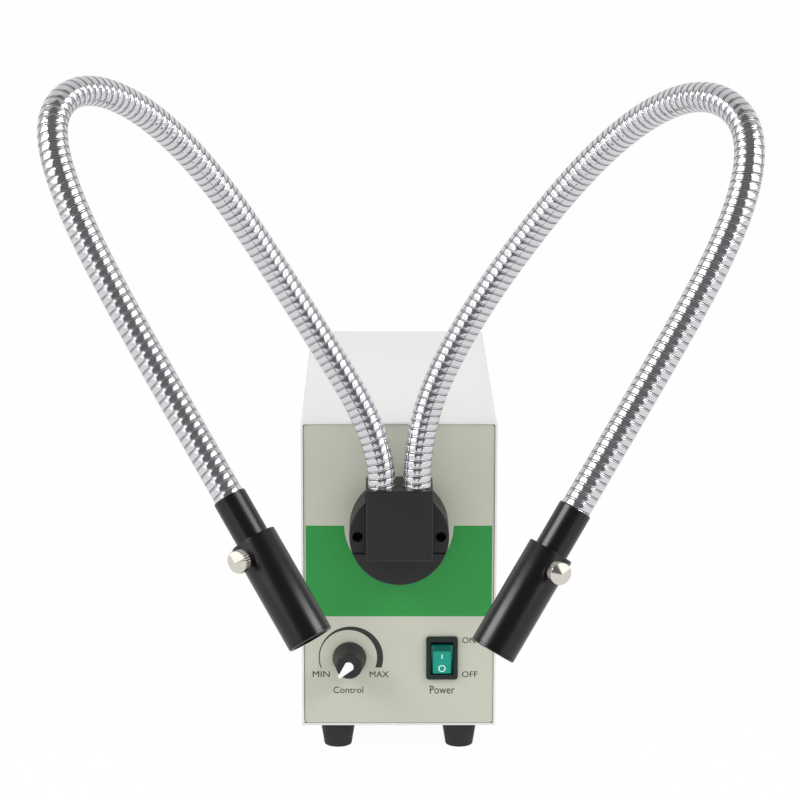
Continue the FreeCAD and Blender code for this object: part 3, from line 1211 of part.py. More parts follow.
def main():
    os.makedirs("parts", exist_ok=True)
    makers = {
        "cover": make_cover, "chassis": make_chassis, "front_panel": make_front_panel,
        "rear_panel": make_rear_panel, "case_screws": make_case_screws, "feet": make_feet,
        "foot_screws": make_foot_screws, "port_housing": make_port_housing,
        "housing_screws": make_housing_screws, "lens_holder": make_lens_holder,
        "condenser_lens": make_condenser_lens, "led_board": make_led_board, "heat_sink": make_heat_sink,
        "fan_frame": make_fan_frame, "fan_rotor": make_fan_rotor, "fan_screws": make_fan_screws,
        "engine_bracket": make_engine_bracket, "power_supply": make_power_supply,
        "driver_board": make_driver_board, "mains_inlet": make_mains_inlet, "dimmer_body": make_dimmer_body,
        "dimmer_nut": make_dimmer_nut, "dimmer_shaft": make_dimmer_shaft, "knob": make_knob,
        "knob_pointer": make_knob_pointer, "switch_body": make_switch_body, "rocker": make_rocker,
        "head_block": make_head_block, "guide_plug": make_guide_plug, "head_bundle": make_head_bundle,
        "neck_collars": make_neck_collars,
    }
    for name, maker in makers.items():
        save(name, maker())
    for name, side, shares, thumb_turn in (("left", -1, LEFT_ROUTE_SHARES, LEFT_THUMB_TURN),
                                           ("right", 1, RIGHT_ROUTE_SHARES, -RIGHT_THUMB_TURN)):
        neck = Neck(side, shares)
        for index in range(SEGMENT_COUNT):
            save("%s_hose_%d" % (name, index + 1), neck.hose(index))
            save("%s_fibre_%d" % (name, index + 1), neck.fibre(index))
        save(name + "_sleeve", make_sleeve(neck))
        save(name + "_barrel", make_barrel(neck, thumb_turn))
        save(name + "_tip_lens", make_tip_lens(neck))
        save(name + "_thumbscrew", make_thumbscrew(neck, thumb_turn))
        report_joints(neck, name, thumb_turn)


main()
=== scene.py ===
"""Fibre optic illuminator with two goosenecks: visible pieces, finishes, studio and camera."""

import json
import logging
import math
from dataclasses import dataclass, field
from enum import Enum
from typing import Iterable, Sequence

import bmesh
import bpy
import numpy as np
from mathutils import Matrix, Vector

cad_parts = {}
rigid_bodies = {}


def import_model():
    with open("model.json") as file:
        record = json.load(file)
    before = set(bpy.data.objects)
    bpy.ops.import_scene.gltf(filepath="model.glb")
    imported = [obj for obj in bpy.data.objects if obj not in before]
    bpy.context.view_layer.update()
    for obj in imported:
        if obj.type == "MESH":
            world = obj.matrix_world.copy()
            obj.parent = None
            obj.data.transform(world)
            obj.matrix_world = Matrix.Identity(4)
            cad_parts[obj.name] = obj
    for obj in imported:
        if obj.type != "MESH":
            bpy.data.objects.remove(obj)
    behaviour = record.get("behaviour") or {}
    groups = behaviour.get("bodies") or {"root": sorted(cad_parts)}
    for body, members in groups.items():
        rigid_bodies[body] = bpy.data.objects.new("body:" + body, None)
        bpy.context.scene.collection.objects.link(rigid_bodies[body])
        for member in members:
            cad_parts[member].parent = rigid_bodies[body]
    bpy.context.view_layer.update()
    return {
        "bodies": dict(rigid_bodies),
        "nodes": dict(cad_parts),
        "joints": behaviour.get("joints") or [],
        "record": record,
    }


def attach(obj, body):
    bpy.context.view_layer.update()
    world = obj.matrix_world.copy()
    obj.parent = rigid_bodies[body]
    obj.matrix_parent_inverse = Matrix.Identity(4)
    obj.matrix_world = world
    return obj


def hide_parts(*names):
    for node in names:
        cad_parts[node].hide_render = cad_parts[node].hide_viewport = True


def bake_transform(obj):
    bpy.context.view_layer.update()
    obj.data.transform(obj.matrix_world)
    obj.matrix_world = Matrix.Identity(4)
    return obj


LOG = logging.getLogger("illuminator")
MM = 0.001
FULL_TURN = 2 * math.pi
SIDES = (-1, 1)
NECK_STRETCHES = 5

# The curve between a screen's colours and a shader's
COLOUR_STEPS = 255
CURVE_KNEE = 0.04045
CURVE_SLOPE = 12.92
CURVE_OFFSET = 0.055
CURVE_POWER = 2.4

# What all finishes have in common
NOISE_DETAIL = 3.0
LEAST_ROUGHNESS = 0.02
WEAR_PATCH_SHARE = 0.6
RELIEF_STRENGTH = 0.6

# Limits in mesh making: a radius in millimetres, a distance in metres, a share and three angles in degrees
AXIS_TOLERANCE = 1e-9
WELD_DISTANCE = 1e-6
SPLINE_END = 1 - 1e-12
CRISP_ANGLE = 32.0
FINE_CRISP_ANGLE = 24.0
BAKED_CRISP_ANGLE = 38.0

# Places and sizes in millimetres that the pieces share
BOX_FRONT = -23.0
BOX_BACK = 202.0
BOX_FLOOR = 12.0
BOX_ROOF = 160.0
PANEL_SETBACK = 0.5
CONTROL_RISE = 33.5
PORT_DROP = 49.7
KNOB_GAP = 0.8
BEZEL_STAND = 1.7
NECK_REACH = 25.3
NECK_RISE = 24.7
KNOB_SIDE = -23.4
DIAL_SIDE = -22.7
SWITCH_SIDE = 20.5
PANEL_FRONT = BOX_FRONT + PANEL_SETBACK
REAR_FACE = BOX_BACK - PANEL_SETBACK
CONTROL_HEIGHT = BOX_FLOOR + CONTROL_RISE
PORT_HEIGHT = BOX_ROOF - PORT_DROP

Point = tuple[float, float]
Colour = tuple[float, float, float]
Nodes = bpy.types.NodeTree


def linear(colour: Colour) -> tuple[float, float, float, float]:
    """Turn an sRGB colour in 0 to 255 into the linear colour that a shader takes.

    Args:
        colour: red, green and blue as seen on a screen.

    Returns:
        Linear red, green, blue and a full alpha.
    """
    shares = [part / COLOUR_STEPS for part in colour]
    parts = [share / CURVE_SLOPE if share <= CURVE_KNEE else
             ((share + CURVE_OFFSET) / (1 + CURVE_OFFSET)) ** CURVE_POWER for share in shares]
    return parts[0], parts[1], parts[2], 1.0


def grey(level: float) -> tuple[float, float, float, float]:
    """Return a linear grey with a full alpha."""
    return level, level, level, 1.0


# Nodes

def colour_mix(tree: Nodes) -> bpy.types.ShaderNode:
    """Add a node that mixes two colours and return it."""
    mix = tree.nodes.new("ShaderNodeMix")
    mix.data_type = "RGBA"
    return mix


def sum_node(tree: Nodes, operation: str) -> bpy.types.ShaderNode:
    """Add a node that works out one number and return it."""
    made = tree.nodes.new("ShaderNodeMath")
    made.operation = operation
    return made


def climb(tree: Nodes, value: bpy.types.NodeSocket, start: float, end: float) -> bpy.types.NodeSocket:
    """Add a number that climbs from 0 to 1 as another goes from start to end.

    Args:
        tree: the nodes that it joins.
        value: the other number's socket.
        start: where the climb begins.
        end: where it ends.

    Returns:
        The new number's socket.
    """
    span = tree.nodes.new("ShaderNodeMapRange")
    span.inputs["From Min"].default_value = start
    span.inputs["From Max"].default_value = end
    tree.links.new(value, span.inputs["Value"])
    return span.outputs["Result"]


# Finishes

class Grain(Enum):
    """How a surface's fine relief runs: how much finer it is along each axis."""

    EVEN = (1.0, 1.0, 1.0)
    TURNED = (0.02, 0.02, 1.0)
    BRUSHED = (0.03, 1.0, 1.0)


@dataclass(frozen=True)
class Finish:
    """A procedural surface: colour, gloss, fine relief and slight wear."""

    name: str
    colour: Colour
    metallic: float = 0.0
    roughness: float = 0.5
    roughness_swing: float = 0.06
    mottle: float = 0.03
    mottle_mm: float = 14.0
    grain: Grain = Grain.EVEN
    grain_mm: float = 0.6
    relief_mm: float = 0.01
    coat: float = 0.0
    transmission: float = 0.0
    ior: float = 1.45

    def material(self) -> bpy.types.Material:
        """Make the finish's material, once.

        Returns:
            The material.
        """
        name = "look_" + self.name
        found = bpy.data.materials.get(name)
        if found:
            return found
        made = bpy.data.materials.new(name)
        made.use_nodes = True
        tree = made.node_tree
        shader = tree.nodes["Principled BSDF"]
        shader.inputs["Metallic"].default_value = self.metallic
        shader.inputs["Coat Weight"].default_value = self.coat
        shader.inputs["Transmission Weight"].default_value = self.transmission
        shader.inputs["IOR"].default_value = self.ior
        place = tree.nodes.new("ShaderNodeTexCoord").outputs["Object"]
        self._tint(tree, place, shader)
        self._gloss(tree, place, shader)
        self._relief(tree, place, shader)
        return made

    def _noise(self, tree: Nodes, place: bpy.types.NodeSocket, size_mm: float,
               stretch: Sequence[float] = Grain.EVEN.value) -> bpy.types.NodeSocket:
        """Add a noise of a given grain size.

        Args:
            tree: the material's nodes.
            place: the coordinates to read.
            size_mm: the size of one patch.
            stretch: how much finer the noise is along each axis.

        Returns:
            The noise's value socket.
        """
        scale = tree.nodes.new("ShaderNodeMapping")
        scale.inputs["Scale"].default_value = [part / (size_mm * MM) for part in stretch]
        noise = tree.nodes.new("ShaderNodeTexNoise")
        noise.inputs["Scale"].default_value = 1.0
        noise.inputs["Detail"].default_value = NOISE_DETAIL
        tree.links.new(place, scale.inputs["Vector"])
        tree.links.new(scale.outputs["Vector"], noise.inputs["Vector"])
        return noise.outputs["Fac"]

    def _tint(self, tree: Nodes, place: bpy.types.NodeSocket, shader: bpy.types.ShaderNode) -> None:
        """Let the colour vary a little over the surface.

        Args:
            tree: the material's nodes.
            place: the coordinates to read.
            shader: the material's shader.
        """
        base = linear(self.colour)
        if self.mottle <= 0:
            shader.inputs["Base Color"].default_value = base
            return
        mix = colour_mix(tree)
        mix.inputs["A"].default_value = [part * (1 - self.mottle) for part in base[:3]] + [1.0]
        mix.inputs["B"].default_value = [min(1.0, part * (1 + self.mottle)) for part in base[:3]] + [1.0]
        tree.links.new(self._noise(tree, place, self.mottle_mm), mix.inputs["Factor"])
        tree.links.new(mix.outputs["Result"], shader.inputs["Base Color"])

    def _gloss(self, tree: Nodes, place: bpy.types.NodeSocket, shader: bpy.types.ShaderNode) -> None:
        """Let the roughness vary with handling and wear.

        Args:
            tree: the material's nodes.
            place: the coordinates to read.
            shader: the material's shader.
        """
        if self.roughness_swing <= 0:
            shader.inputs["Roughness"].default_value = self.roughness
            return
        span = tree.nodes.new("ShaderNodeMapRange")
        span.inputs["To Min"].default_value = max(LEAST_ROUGHNESS, self.roughness - self.roughness_swing)
        span.inputs["To Max"].default_value = self.roughness + self.roughness_swing
        tree.links.new(self._noise(tree, place, self.mottle_mm * WEAR_PATCH_SHARE), span.inputs["Value"])
        tree.links.new(span.outputs["Result"], shader.inputs["Roughness"])

    def _relief(self, tree: Nodes, place: bpy.types.NodeSocket, shader: bpy.types.ShaderNode) -> None:
        """Add the fine relief: texture, turning rings or brushing.

        Args:
            tree: the material's nodes.
            place: the coordinates to read.
            shader: the material's shader.
        """
        if self.relief_mm <= 0:
            return
        bump = tree.nodes.new("ShaderNodeBump")
        bump.inputs["Strength"].default_value = RELIEF_STRENGTH
        bump.inputs["Distance"].default_value = self.relief_mm * MM
        tree.links.new(self._noise(tree, place, self.grain_mm, self.grain.value), bump.inputs["Height"])
        tree.links.new(bump.outputs["Normal"], shader.inputs["Normal"])


COVER_PAINT = Finish("cover_paint", (229, 229, 227), roughness=0.42, mottle=0.012, grain_mm=0.9,
                     relief_mm=0.012)
CHASSIS_PAINT = Finish("chassis_paint", (222, 223, 220), roughness=0.45, mottle=0.012, grain_mm=0.9,
                       relief_mm=0.012)
PANEL_PRINT = Finish("panel_print", (193, 196, 180), roughness=0.5, mottle=0.02, mottle_mm=60.0,
                     grain_mm=0.35, relief_mm=0.006)
GREEN_PRINT = Finish("green_print", (36, 146, 63), roughness=0.45, mottle=0.03, mottle_mm=60.0, grain_mm=0.35,
                     relief_mm=0.006)
DARK_PRINT = Finish("dark_print", (50, 50, 47), roughness=0.5, mottle=0.05, grain_mm=0.35, relief_mm=0.004)
LABEL_PRINT = Finish("label_print", (26, 27, 24), roughness=0.5, mottle=0.05, grain_mm=0.35, relief_mm=0.004)
CHROME = Finish("hose_chrome", (232, 232, 236), metallic=1.0, roughness=0.1, roughness_swing=0.035,
                mottle=0.02, grain_mm=0.5, relief_mm=0.004)
# Painted shade: a dark grey for the hose's seam grooves, its inside and its cut ends, where shade falls.
SEAM_PAINTED_SHADE = Finish("seam_painted_shade", (84, 84, 87), metallic=0.2, roughness=0.5, roughness_swing=0.1,
                    mottle=0.25, mottle_mm=1.5, relief_mm=0.01)
COLLAR_CHROME = Finish("collar_chrome", (220, 220, 224), metallic=1.0, roughness=0.14, grain=Grain.TURNED,
                       grain_mm=0.2, relief_mm=0.004)
BARREL_BLACK = Finish("barrel_black", (12, 11, 11), roughness=0.25, roughness_swing=0.04,
                      mottle=0.12, grain_mm=0.35, relief_mm=0.012, ior=1.5)
HOUSING_BLACK = Finish("housing_black", (36, 36, 37), metallic=0.1, roughness=0.5, mottle=0.06, grain_mm=0.25,
                       relief_mm=0.01)
HEAD_BLACK = Finish("head_black", (31, 32, 32), metallic=0.1, roughness=0.46, mottle=0.05, grain_mm=0.25,
                    relief_mm=0.01)
NICKEL = Finish("thumbscrew_nickel", (230, 227, 217), metallic=1.0, roughness=0.09, roughness_swing=0.02,
                mottle=0.04, grain_mm=0.4, relief_mm=0.002)
# Painted shade: a dark finish for the knurl's valleys, where shade falls.
KNURL_PAINTED_SHADE = Finish("knurl_painted_shade", (44, 43, 40), metallic=0.6, roughness=0.5, mottle=0.1, relief_mm=0.0)
ZINC = Finish("screw_zinc", (190, 192, 196), metallic=1.0, roughness=0.3, mottle=0.08, grain_mm=0.3)
RAW_ALUMINIUM = Finish("raw_aluminium", (200, 202, 205), metallic=1.0, roughness=0.35, grain=Grain.BRUSHED,
                       grain_mm=0.2, relief_mm=0.008)
FOOT_RUBBER = Finish("foot_rubber", (35, 35, 37), roughness=0.62, mottle=0.08, grain_mm=0.5, relief_mm=0.02)
KNOB_PLASTIC = Finish("knob_plastic", (34, 34, 35), roughness=0.42, mottle=0.05, grain_mm=0.3, relief_mm=0.01)
POINTER_WHITE = Finish("pointer_white", (244, 244, 242), roughness=0.35, mottle=0.01)
# The bezel's own dark plastic; on the case screws it is also painted shade in the cross recesses.
BEZEL_PLASTIC_AND_RECESS_SHADE = Finish("bezel_plastic_and_recess_shade", (22, 38, 34), roughness=0.4, mottle=0.05, grain_mm=0.25,
                       relief_mm=0.008, ior=1.4)
ROCKER_GREEN = Finish("rocker_green", (2, 152, 130), roughness=0.3, mottle=0.08, mottle_mm=4.0,
                      relief_mm=0.0, ior=1.4)
# Painted shade: a darker copy of the rocker's green for the faces that turn away from the light.
ROCKER_PAINTED_SHADE = Finish("rocker_painted_shade", (1, 90, 80), roughness=0.3, mottle=0.08, mottle_mm=4.0,
                      relief_mm=0.0, ior=1.4)
LEGEND_WHITE = Finish("legend_white", (214, 240, 232), roughness=0.4, mottle=0.01)
INLET_BLACK = Finish("inlet_black", (34, 34, 35), roughness=0.45, mottle=0.05, grain_mm=0.3)
FAN_BLACK = Finish("fan_black", (28, 28, 29), roughness=0.35, mottle=0.04)
BOARD_GREEN = Finish("board_green", (30, 96, 52), roughness=0.4, mottle=0.15, mottle_mm=5.0)
LENS_GLASS = Finish("lens_glass", (240, 246, 246), roughness=0.03, roughness_swing=0.0, mottle=0.0,
                    transmission=1.0, relief_mm=0.0, ior=1.52)
FIBRE_GLASS = Finish("fibre_glass", (214, 218, 206), roughness=0.3, mottle=0.12, mottle_mm=0.3, coat=0.5)


# Mesh making

@dataclass
class Form:
    """Points and faces of one piece in millimetres, with a finish number for each face."""

    points: list[tuple[float, float, float]] = field(default_factory=list)
    faces: list[tuple[int, ...]] = field(default_factory=list)
    marks: list[int] = field(default_factory=list)

    def add(self, points: Sequence[Sequence[float]], faces: Iterable[Sequence[int]], mark: int = 0) -> None:
        """Append points with the faces that join them.

        Args:
            points: places in millimetres.
            faces: point numbers, counted from the first of these points.
            mark: the number of the finish on these faces.
        """
        start = len(self.points)
        self.points += [(float(x), float(y), float(z)) for x, y, z in points]
        for face in faces:
            self.faces.append(tuple(start + corner for corner in face))
            self.marks.append(mark)

    def lathe(self, outline: Sequence[Point], steps: int = 96, mark: int = 0,
              place: Matrix = Matrix.Identity(4)) -> None:
        """Turn a closed outline of (radius, height) points about Z.

        Args:
            outline: points in order, with the piece on the left of the way.
            steps: how many steps make a full turn.
            mark: the number of the finish.
            place: where the turned form goes.
        """
        rows: list[list[int]] = []
        points: list[Vector] = []
        for radius, height in outline:
            if radius < AXIS_TOLERANCE:
                rows.append([len(points)] * steps)
                points.append(place @ Vector((0, 0, height)))
                continue
            rows.append(list(range(len(points), len(points) + steps)))
            for step in range(steps):
                turn = FULL_TURN * step / steps
                points.append(place @ Vector((radius * math.cos(turn), radius * math.sin(turn), height)))
        faces = []
        for low, high in zip(rows, rows[1:] + rows[:1]):
            if low[0] == low[1] and high[0] == high[1]:
                continue
            for step in range(steps):
                after = (step + 1) % steps
                corners = [low[step], low[after], high[after], high[step]]
                faces.append([corner for index, corner in enumerate(corners) if corner != corners[index - 1]])
        self.add(points, faces, mark)

    def prism(self, outline: Sequence[Point], low: float, high: float, mark: int = 0,
              place: Matrix = Matrix.Identity(4)) -> None:
        """Raise a flat outline, given anticlockwise, into a plate along Z.

        Args:
            outline: (x, y) points.
            low: the bottom's height.
            high: the top's height.
            mark: the number of the finish.
            place: where the plate goes.
        """
        count = len(outline)
        points = [place @ Vector((x, y, level)) for level in (low, high) for x, y in outline]
        faces: list[Sequence[int]] = [list(range(count - 1, -1, -1)), list(range(count, 2 * count))]
        for index in range(count):
            after = (index + 1) % count
            faces.append((index, after, after + count, index + count))
        self.add(points, faces, mark)

    def make(self, name: str, finishes: Sequence[Finish], sharp: float = CRISP_ANGLE,
             place: Matrix = Matrix.Identity(4)) -> bpy.types.Object:
        """Make the object, in metres, with smooth faces and crisp edges.

        Args:
            name: the piece's name.
            finishes: the finishes that the faces' marks count.
            sharp: the angle in degrees above which an edge stays crisp.
            place: the object's own placement, in millimetres.

        Returns:
            The new object.
        """
        mesh = bpy.data.meshes.new(name)
        mesh.from_pydata([(x * MM, y * MM, z * MM) for x, y, z in self.points], [], self.faces)
        for finish in finishes:
            mesh.materials.append(finish.material())
        mesh.polygons.foreach_set("material_index", self.marks)
        mesh.shade_smooth()
        mesh.set_sharp_from_angle(angle=math.radians(sharp))
        mesh.update()
        made = bpy.data.objects.new(name, mesh)
        bpy.context.scene.collection.objects.link(made)
        made.matrix_world = in_metres(place)
        return made


def in_metres(place: Matrix) -> Matrix:
    """Return a placement in millimetres as one in metres."""
    moved = place.copy()
    moved.translation = place.translation * MM
    return moved


def placement(axes: Sequence[Vector], point: Sequence[float]) -> Matrix:
    """Return the placement with the given X, Y and Z axes at a point."""
    made = Matrix([[axis[row] for axis in axes] + [0] for row in range(3)] + [[0, 0, 0, 1]])
    made.translation = Vector(point)
    return made


def soften(piece: bpy.types.Object, size_mm: float, steps: int = 2, angle: float = 30.0) -> bpy.types.Object:
    """Round a piece's crisp edges and bake the rounding into its mesh.

    Args:
        piece: the object to change.
        size_mm: the width of the rounding.
        steps: how many faces make it.
        angle: the least angle in degrees of an edge that is rounded.

    Returns:
        The same object.
    """
    bevel = piece.modifiers.new("edge", "BEVEL")
    bevel.width = size_mm * MM
    bevel.segments = steps
    bevel.limit_method = "ANGLE"
    bevel.angle_limit = math.radians(angle)
    return bake(piece)


def bake(piece: bpy.types.Object) -> bpy.types.Object:
    """Turn a piece with modifiers into its final mesh.

    Args:
        piece: the object to change.

    Returns:
        The same object.
    """
    graph = bpy.context.evaluated_depsgraph_get()
    mesh = bpy.data.meshes.new_from_object(piece.evaluated_get(graph))
    piece.modifiers.clear()
    piece.data = mesh
    mesh.shade_smooth()
    mesh.set_sharp_from_angle(angle=math.radians(BAKED_CRISP_ANGLE))
    return piece


def arc(centre: Point, radius: float, start: float, end: float, steps: int) -> list[Point]:
    """Return points along an arc.

    Args:
        centre: the arc's centre.
        radius: its radius.
        start: the first angle in degrees.
        end: the last angle in degrees.
        steps: how many chords make it.

    Returns:
        The points from start to end.
    """
    turns = [math.radians(start + (end - start) * step / steps) for step in range(steps + 1)]
    return [(centre[0] + radius * math.cos(turn), centre[1] + radius * math.sin(turn)) for turn in turns]


def rounded_rectangle(width: float, height: float, corner: float, steps: int = 6,
                      centre: Point = (0.0, 0.0)) -> list[Point]:
    """Return the outline of a rectangle with round corners, anticlockwise.

    Args:
        width: its size along X.
        height: its size along Y.
        corner: the radius of its corners.
        steps: how many chords make a corner.
        centre: its middle.

    Returns:
        The outline's points.
    """
    x, y = width / 2 - corner, height / 2 - corner
    points: list[Point] = []
    for index, (across, up) in enumerate(((1, 1), (-1, 1), (-1, -1), (1, -1))):
        middle = (centre[0] + across * x, centre[1] + up * y)
        points += arc(middle, corner, 90 * index, 90 * (index + 1), steps)
    return points


def facing_front(x: float, y: float, z: float) -> Matrix:
    """Return a placement at a point whose X stays, whose Y is up and whose Z faces the front."""
    return Matrix(((1, 0, 0, x), (0, 0, -1, y), (0, 1, 0, z), (0, 0, 0, 1)))


def settle(piece: bpy.types.Object, body: str, slot: str, *nodes: str) -> bpy.types.Object:
    """Hang a finished piece on its body and hide the nodes that it stands for.

    Args:
        piece: the finished object.
        body: the CAD body that it moves with.
        slot: the record's material slot; not used.
        nodes: the CAD nodes that it replaces.

    Returns:
        The same object.
    """
    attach(piece, body)
    if nodes:
        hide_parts(*nodes)
    LOG.info("made %s on %s", piece.name, body)
    return piece


def dress(frame: dict, node: str, finish: Finish) -> None:
    """Give a CAD node a better finish.

    Args:
        node: the CAD node's name.
        finish: its finish.
    """
    shown = frame["nodes"][node]
    shown.data.materials.clear()
    shown.data.materials.append(finish.material())
    LOG.info("dressed %s with %s", node, finish.name)


# Case

@dataclass(frozen=True)
class ScrewHead:
    """A pan-head screw whose cross recess is a thin dark plate as painted shade. Lengths in millimetres."""

    radius: float = 2.9
    height: float = 1.8
    shank: float = 1.45
    length: float = 5.0
    rim_share: float = 0.45
    shoulder_inset: float = 1.1
    shoulder: float = 1.0
    shoulder_start: float = 20.0
    shoulder_steps: int = 5
    crown: float = 1.5
    cross_arm: float = 1.35
    cross_half: float = 0.28
    cross_depth: float = 0.3
    cross_lift: float = 0.02
    steps: int = 40

    def add(self, form: Form, place: Matrix) -> None:
        """Add one screw to a form.

        Args:
            form: the form that takes it.
            place: its seat, with Z outward.
        """
        outline: list[Point] = [(0.0, -self.length), (self.shank, -self.length), (self.shank, 0.0),
                                (self.radius, 0.0), (self.radius, self.height * self.rim_share)]
        outline += [(self.radius - self.shoulder_inset + x, self.height - self.shoulder + z) for x, z in
                    arc((0.0, 0.0), self.shoulder, self.shoulder_start, 90, self.shoulder_steps)]
        outline += [(self.crown, self.height), (0.0, self.height)]
        form.lathe(outline, self.steps, place=place)
        arm, half = self.cross_arm, self.cross_half
        cross = [(half, arm), (-half, arm), (-half, half), (-arm, half), (-arm, -half), (-half, -half),
                 (-half, -arm), (half, -arm), (half, -half), (arm, -half), (arm, half), (half, half)]
        # The cross is a thin dark plate, standing a little proud of the crown, as painted shade in the recess.
        form.prism(cross, self.height - self.cross_depth, self.height + self.cross_lift, mark=1, place=place)


@dataclass
class Case:
    """The sheet-metal box with its panels, feet and screws. Lengths in millimetres."""

    front: float = BOX_FRONT
    back: float = BOX_BACK
    rear_face: float = REAR_FACE
    floor: float = BOX_FLOOR
    half_width: float = 46.0
    foot_spread: float = 58.0
    foot_inset: float = 10.0
    foot_bottom: float = 6.6
    foot_top: float = 8.4
    foot_round: float = 0.7
    foot_round_end: float = 5.0
    foot_round_steps: int = 5
    foot_chamfer: float = 0.4
    foot_recess: float = 3.6
    foot_recess_depth: float = 6.0
    foot_bore: float = 1.6
    foot_steps: int = 56
    side_screw_rise: float = 6.5
    side_screw_insets: Point = (75.0, 28.0)
    rear_screw_side: float = 34.0
    rear_screw_inset: float = 7.0
    inlet_side: float = 12.0
    inlet_rise: float = 30.0
    inlet_flange: float = 3.0
    inlet_screw_reach: float = 20.0
    looks: Sequence[tuple[str, Finish]] = (
        ("cover", COVER_PAINT), ("rear_panel", COVER_PAINT), ("chassis", CHASSIS_PAINT),
        ("front_panel", PANEL_PRINT), ("foot_screws", ZINC))

    def feet(self) -> None:
        """Make the four rubber feet with rounded rims and screw wells."""
        form = Form()
        slope = (self.foot_top - self.foot_bottom) / self.floor
        outline: list[Point] = [(self.foot_recess, 0.0)]
        outline += [(self.foot_bottom - self.foot_round + x, self.foot_round + z) for x, z in
                    arc((0.0, 0.0), self.foot_round, -90, self.foot_round_end, self.foot_round_steps)]
        chamfer = self.foot_chamfer
        outline += [(self.foot_top - slope * chamfer, self.floor - chamfer),
                    (self.foot_top - chamfer, self.floor), (self.foot_bore, self.floor),
                    (self.foot_bore, self.foot_recess_depth), (self.foot_recess, self.foot_recess_depth)]
        for across in SIDES:
            for depth in (self.front + self.foot_inset, self.back - self.foot_inset):
                place = Matrix.Translation((across * self.foot_spread / 2, depth, 0))
                form.lathe(outline, self.foot_steps, place=place)
        settle(form.make("rubber_feet", [FOOT_RUBBER]), "case", "foot_rubber", "feet")

    def screws(self) -> None:
        """Make the pan-head screws on the sides and the back, with painted shade for their cross recesses."""
        form = Form()
        depths = (self.front + self.side_screw_insets[0], self.back - self.side_screw_insets[1])
        heights = (self.floor + self.rear_screw_inset, BOX_ROOF - self.rear_screw_inset)
        side_height = self.floor + self.side_screw_rise
        flange = self.rear_face + self.inlet_flange
        inlet_height = self.floor + self.inlet_rise
        backward = Vector((0, 1, 0))
        places = [(Vector((side * self.half_width, depth, side_height)), Vector((side, 0, 0)))
                  for side in SIDES for depth in depths]
        places += [(Vector((side * self.rear_screw_side, self.rear_face, height)), backward)
                   for side in SIDES for height in heights]
        places += [(Vector((self.inlet_side + side * self.inlet_screw_reach, flange, inlet_height)), backward)
                   for side in SIDES]
        head = ScrewHead()
        for place, outward in places:
            turn = outward.to_track_quat("Z", "Y").to_matrix().to_4x4()
            head.add(form, Matrix.Translation(place) @ turn)
        # Finish 1 is painted shade on the cross recesses.
        settle(form.make("case_screw_heads", [ZINC, BEZEL_PLASTIC_AND_RECESS_SHADE]), "case", "steel", "case_screws")

    def build(self, frame: dict) -> None:
        """Dress the sheet-metal nodes and make the feet and screws.
        """
        for node, finish in self.looks:
            dress(frame, node, finish)
        self.feet()
        self.screws()


# Panel markings

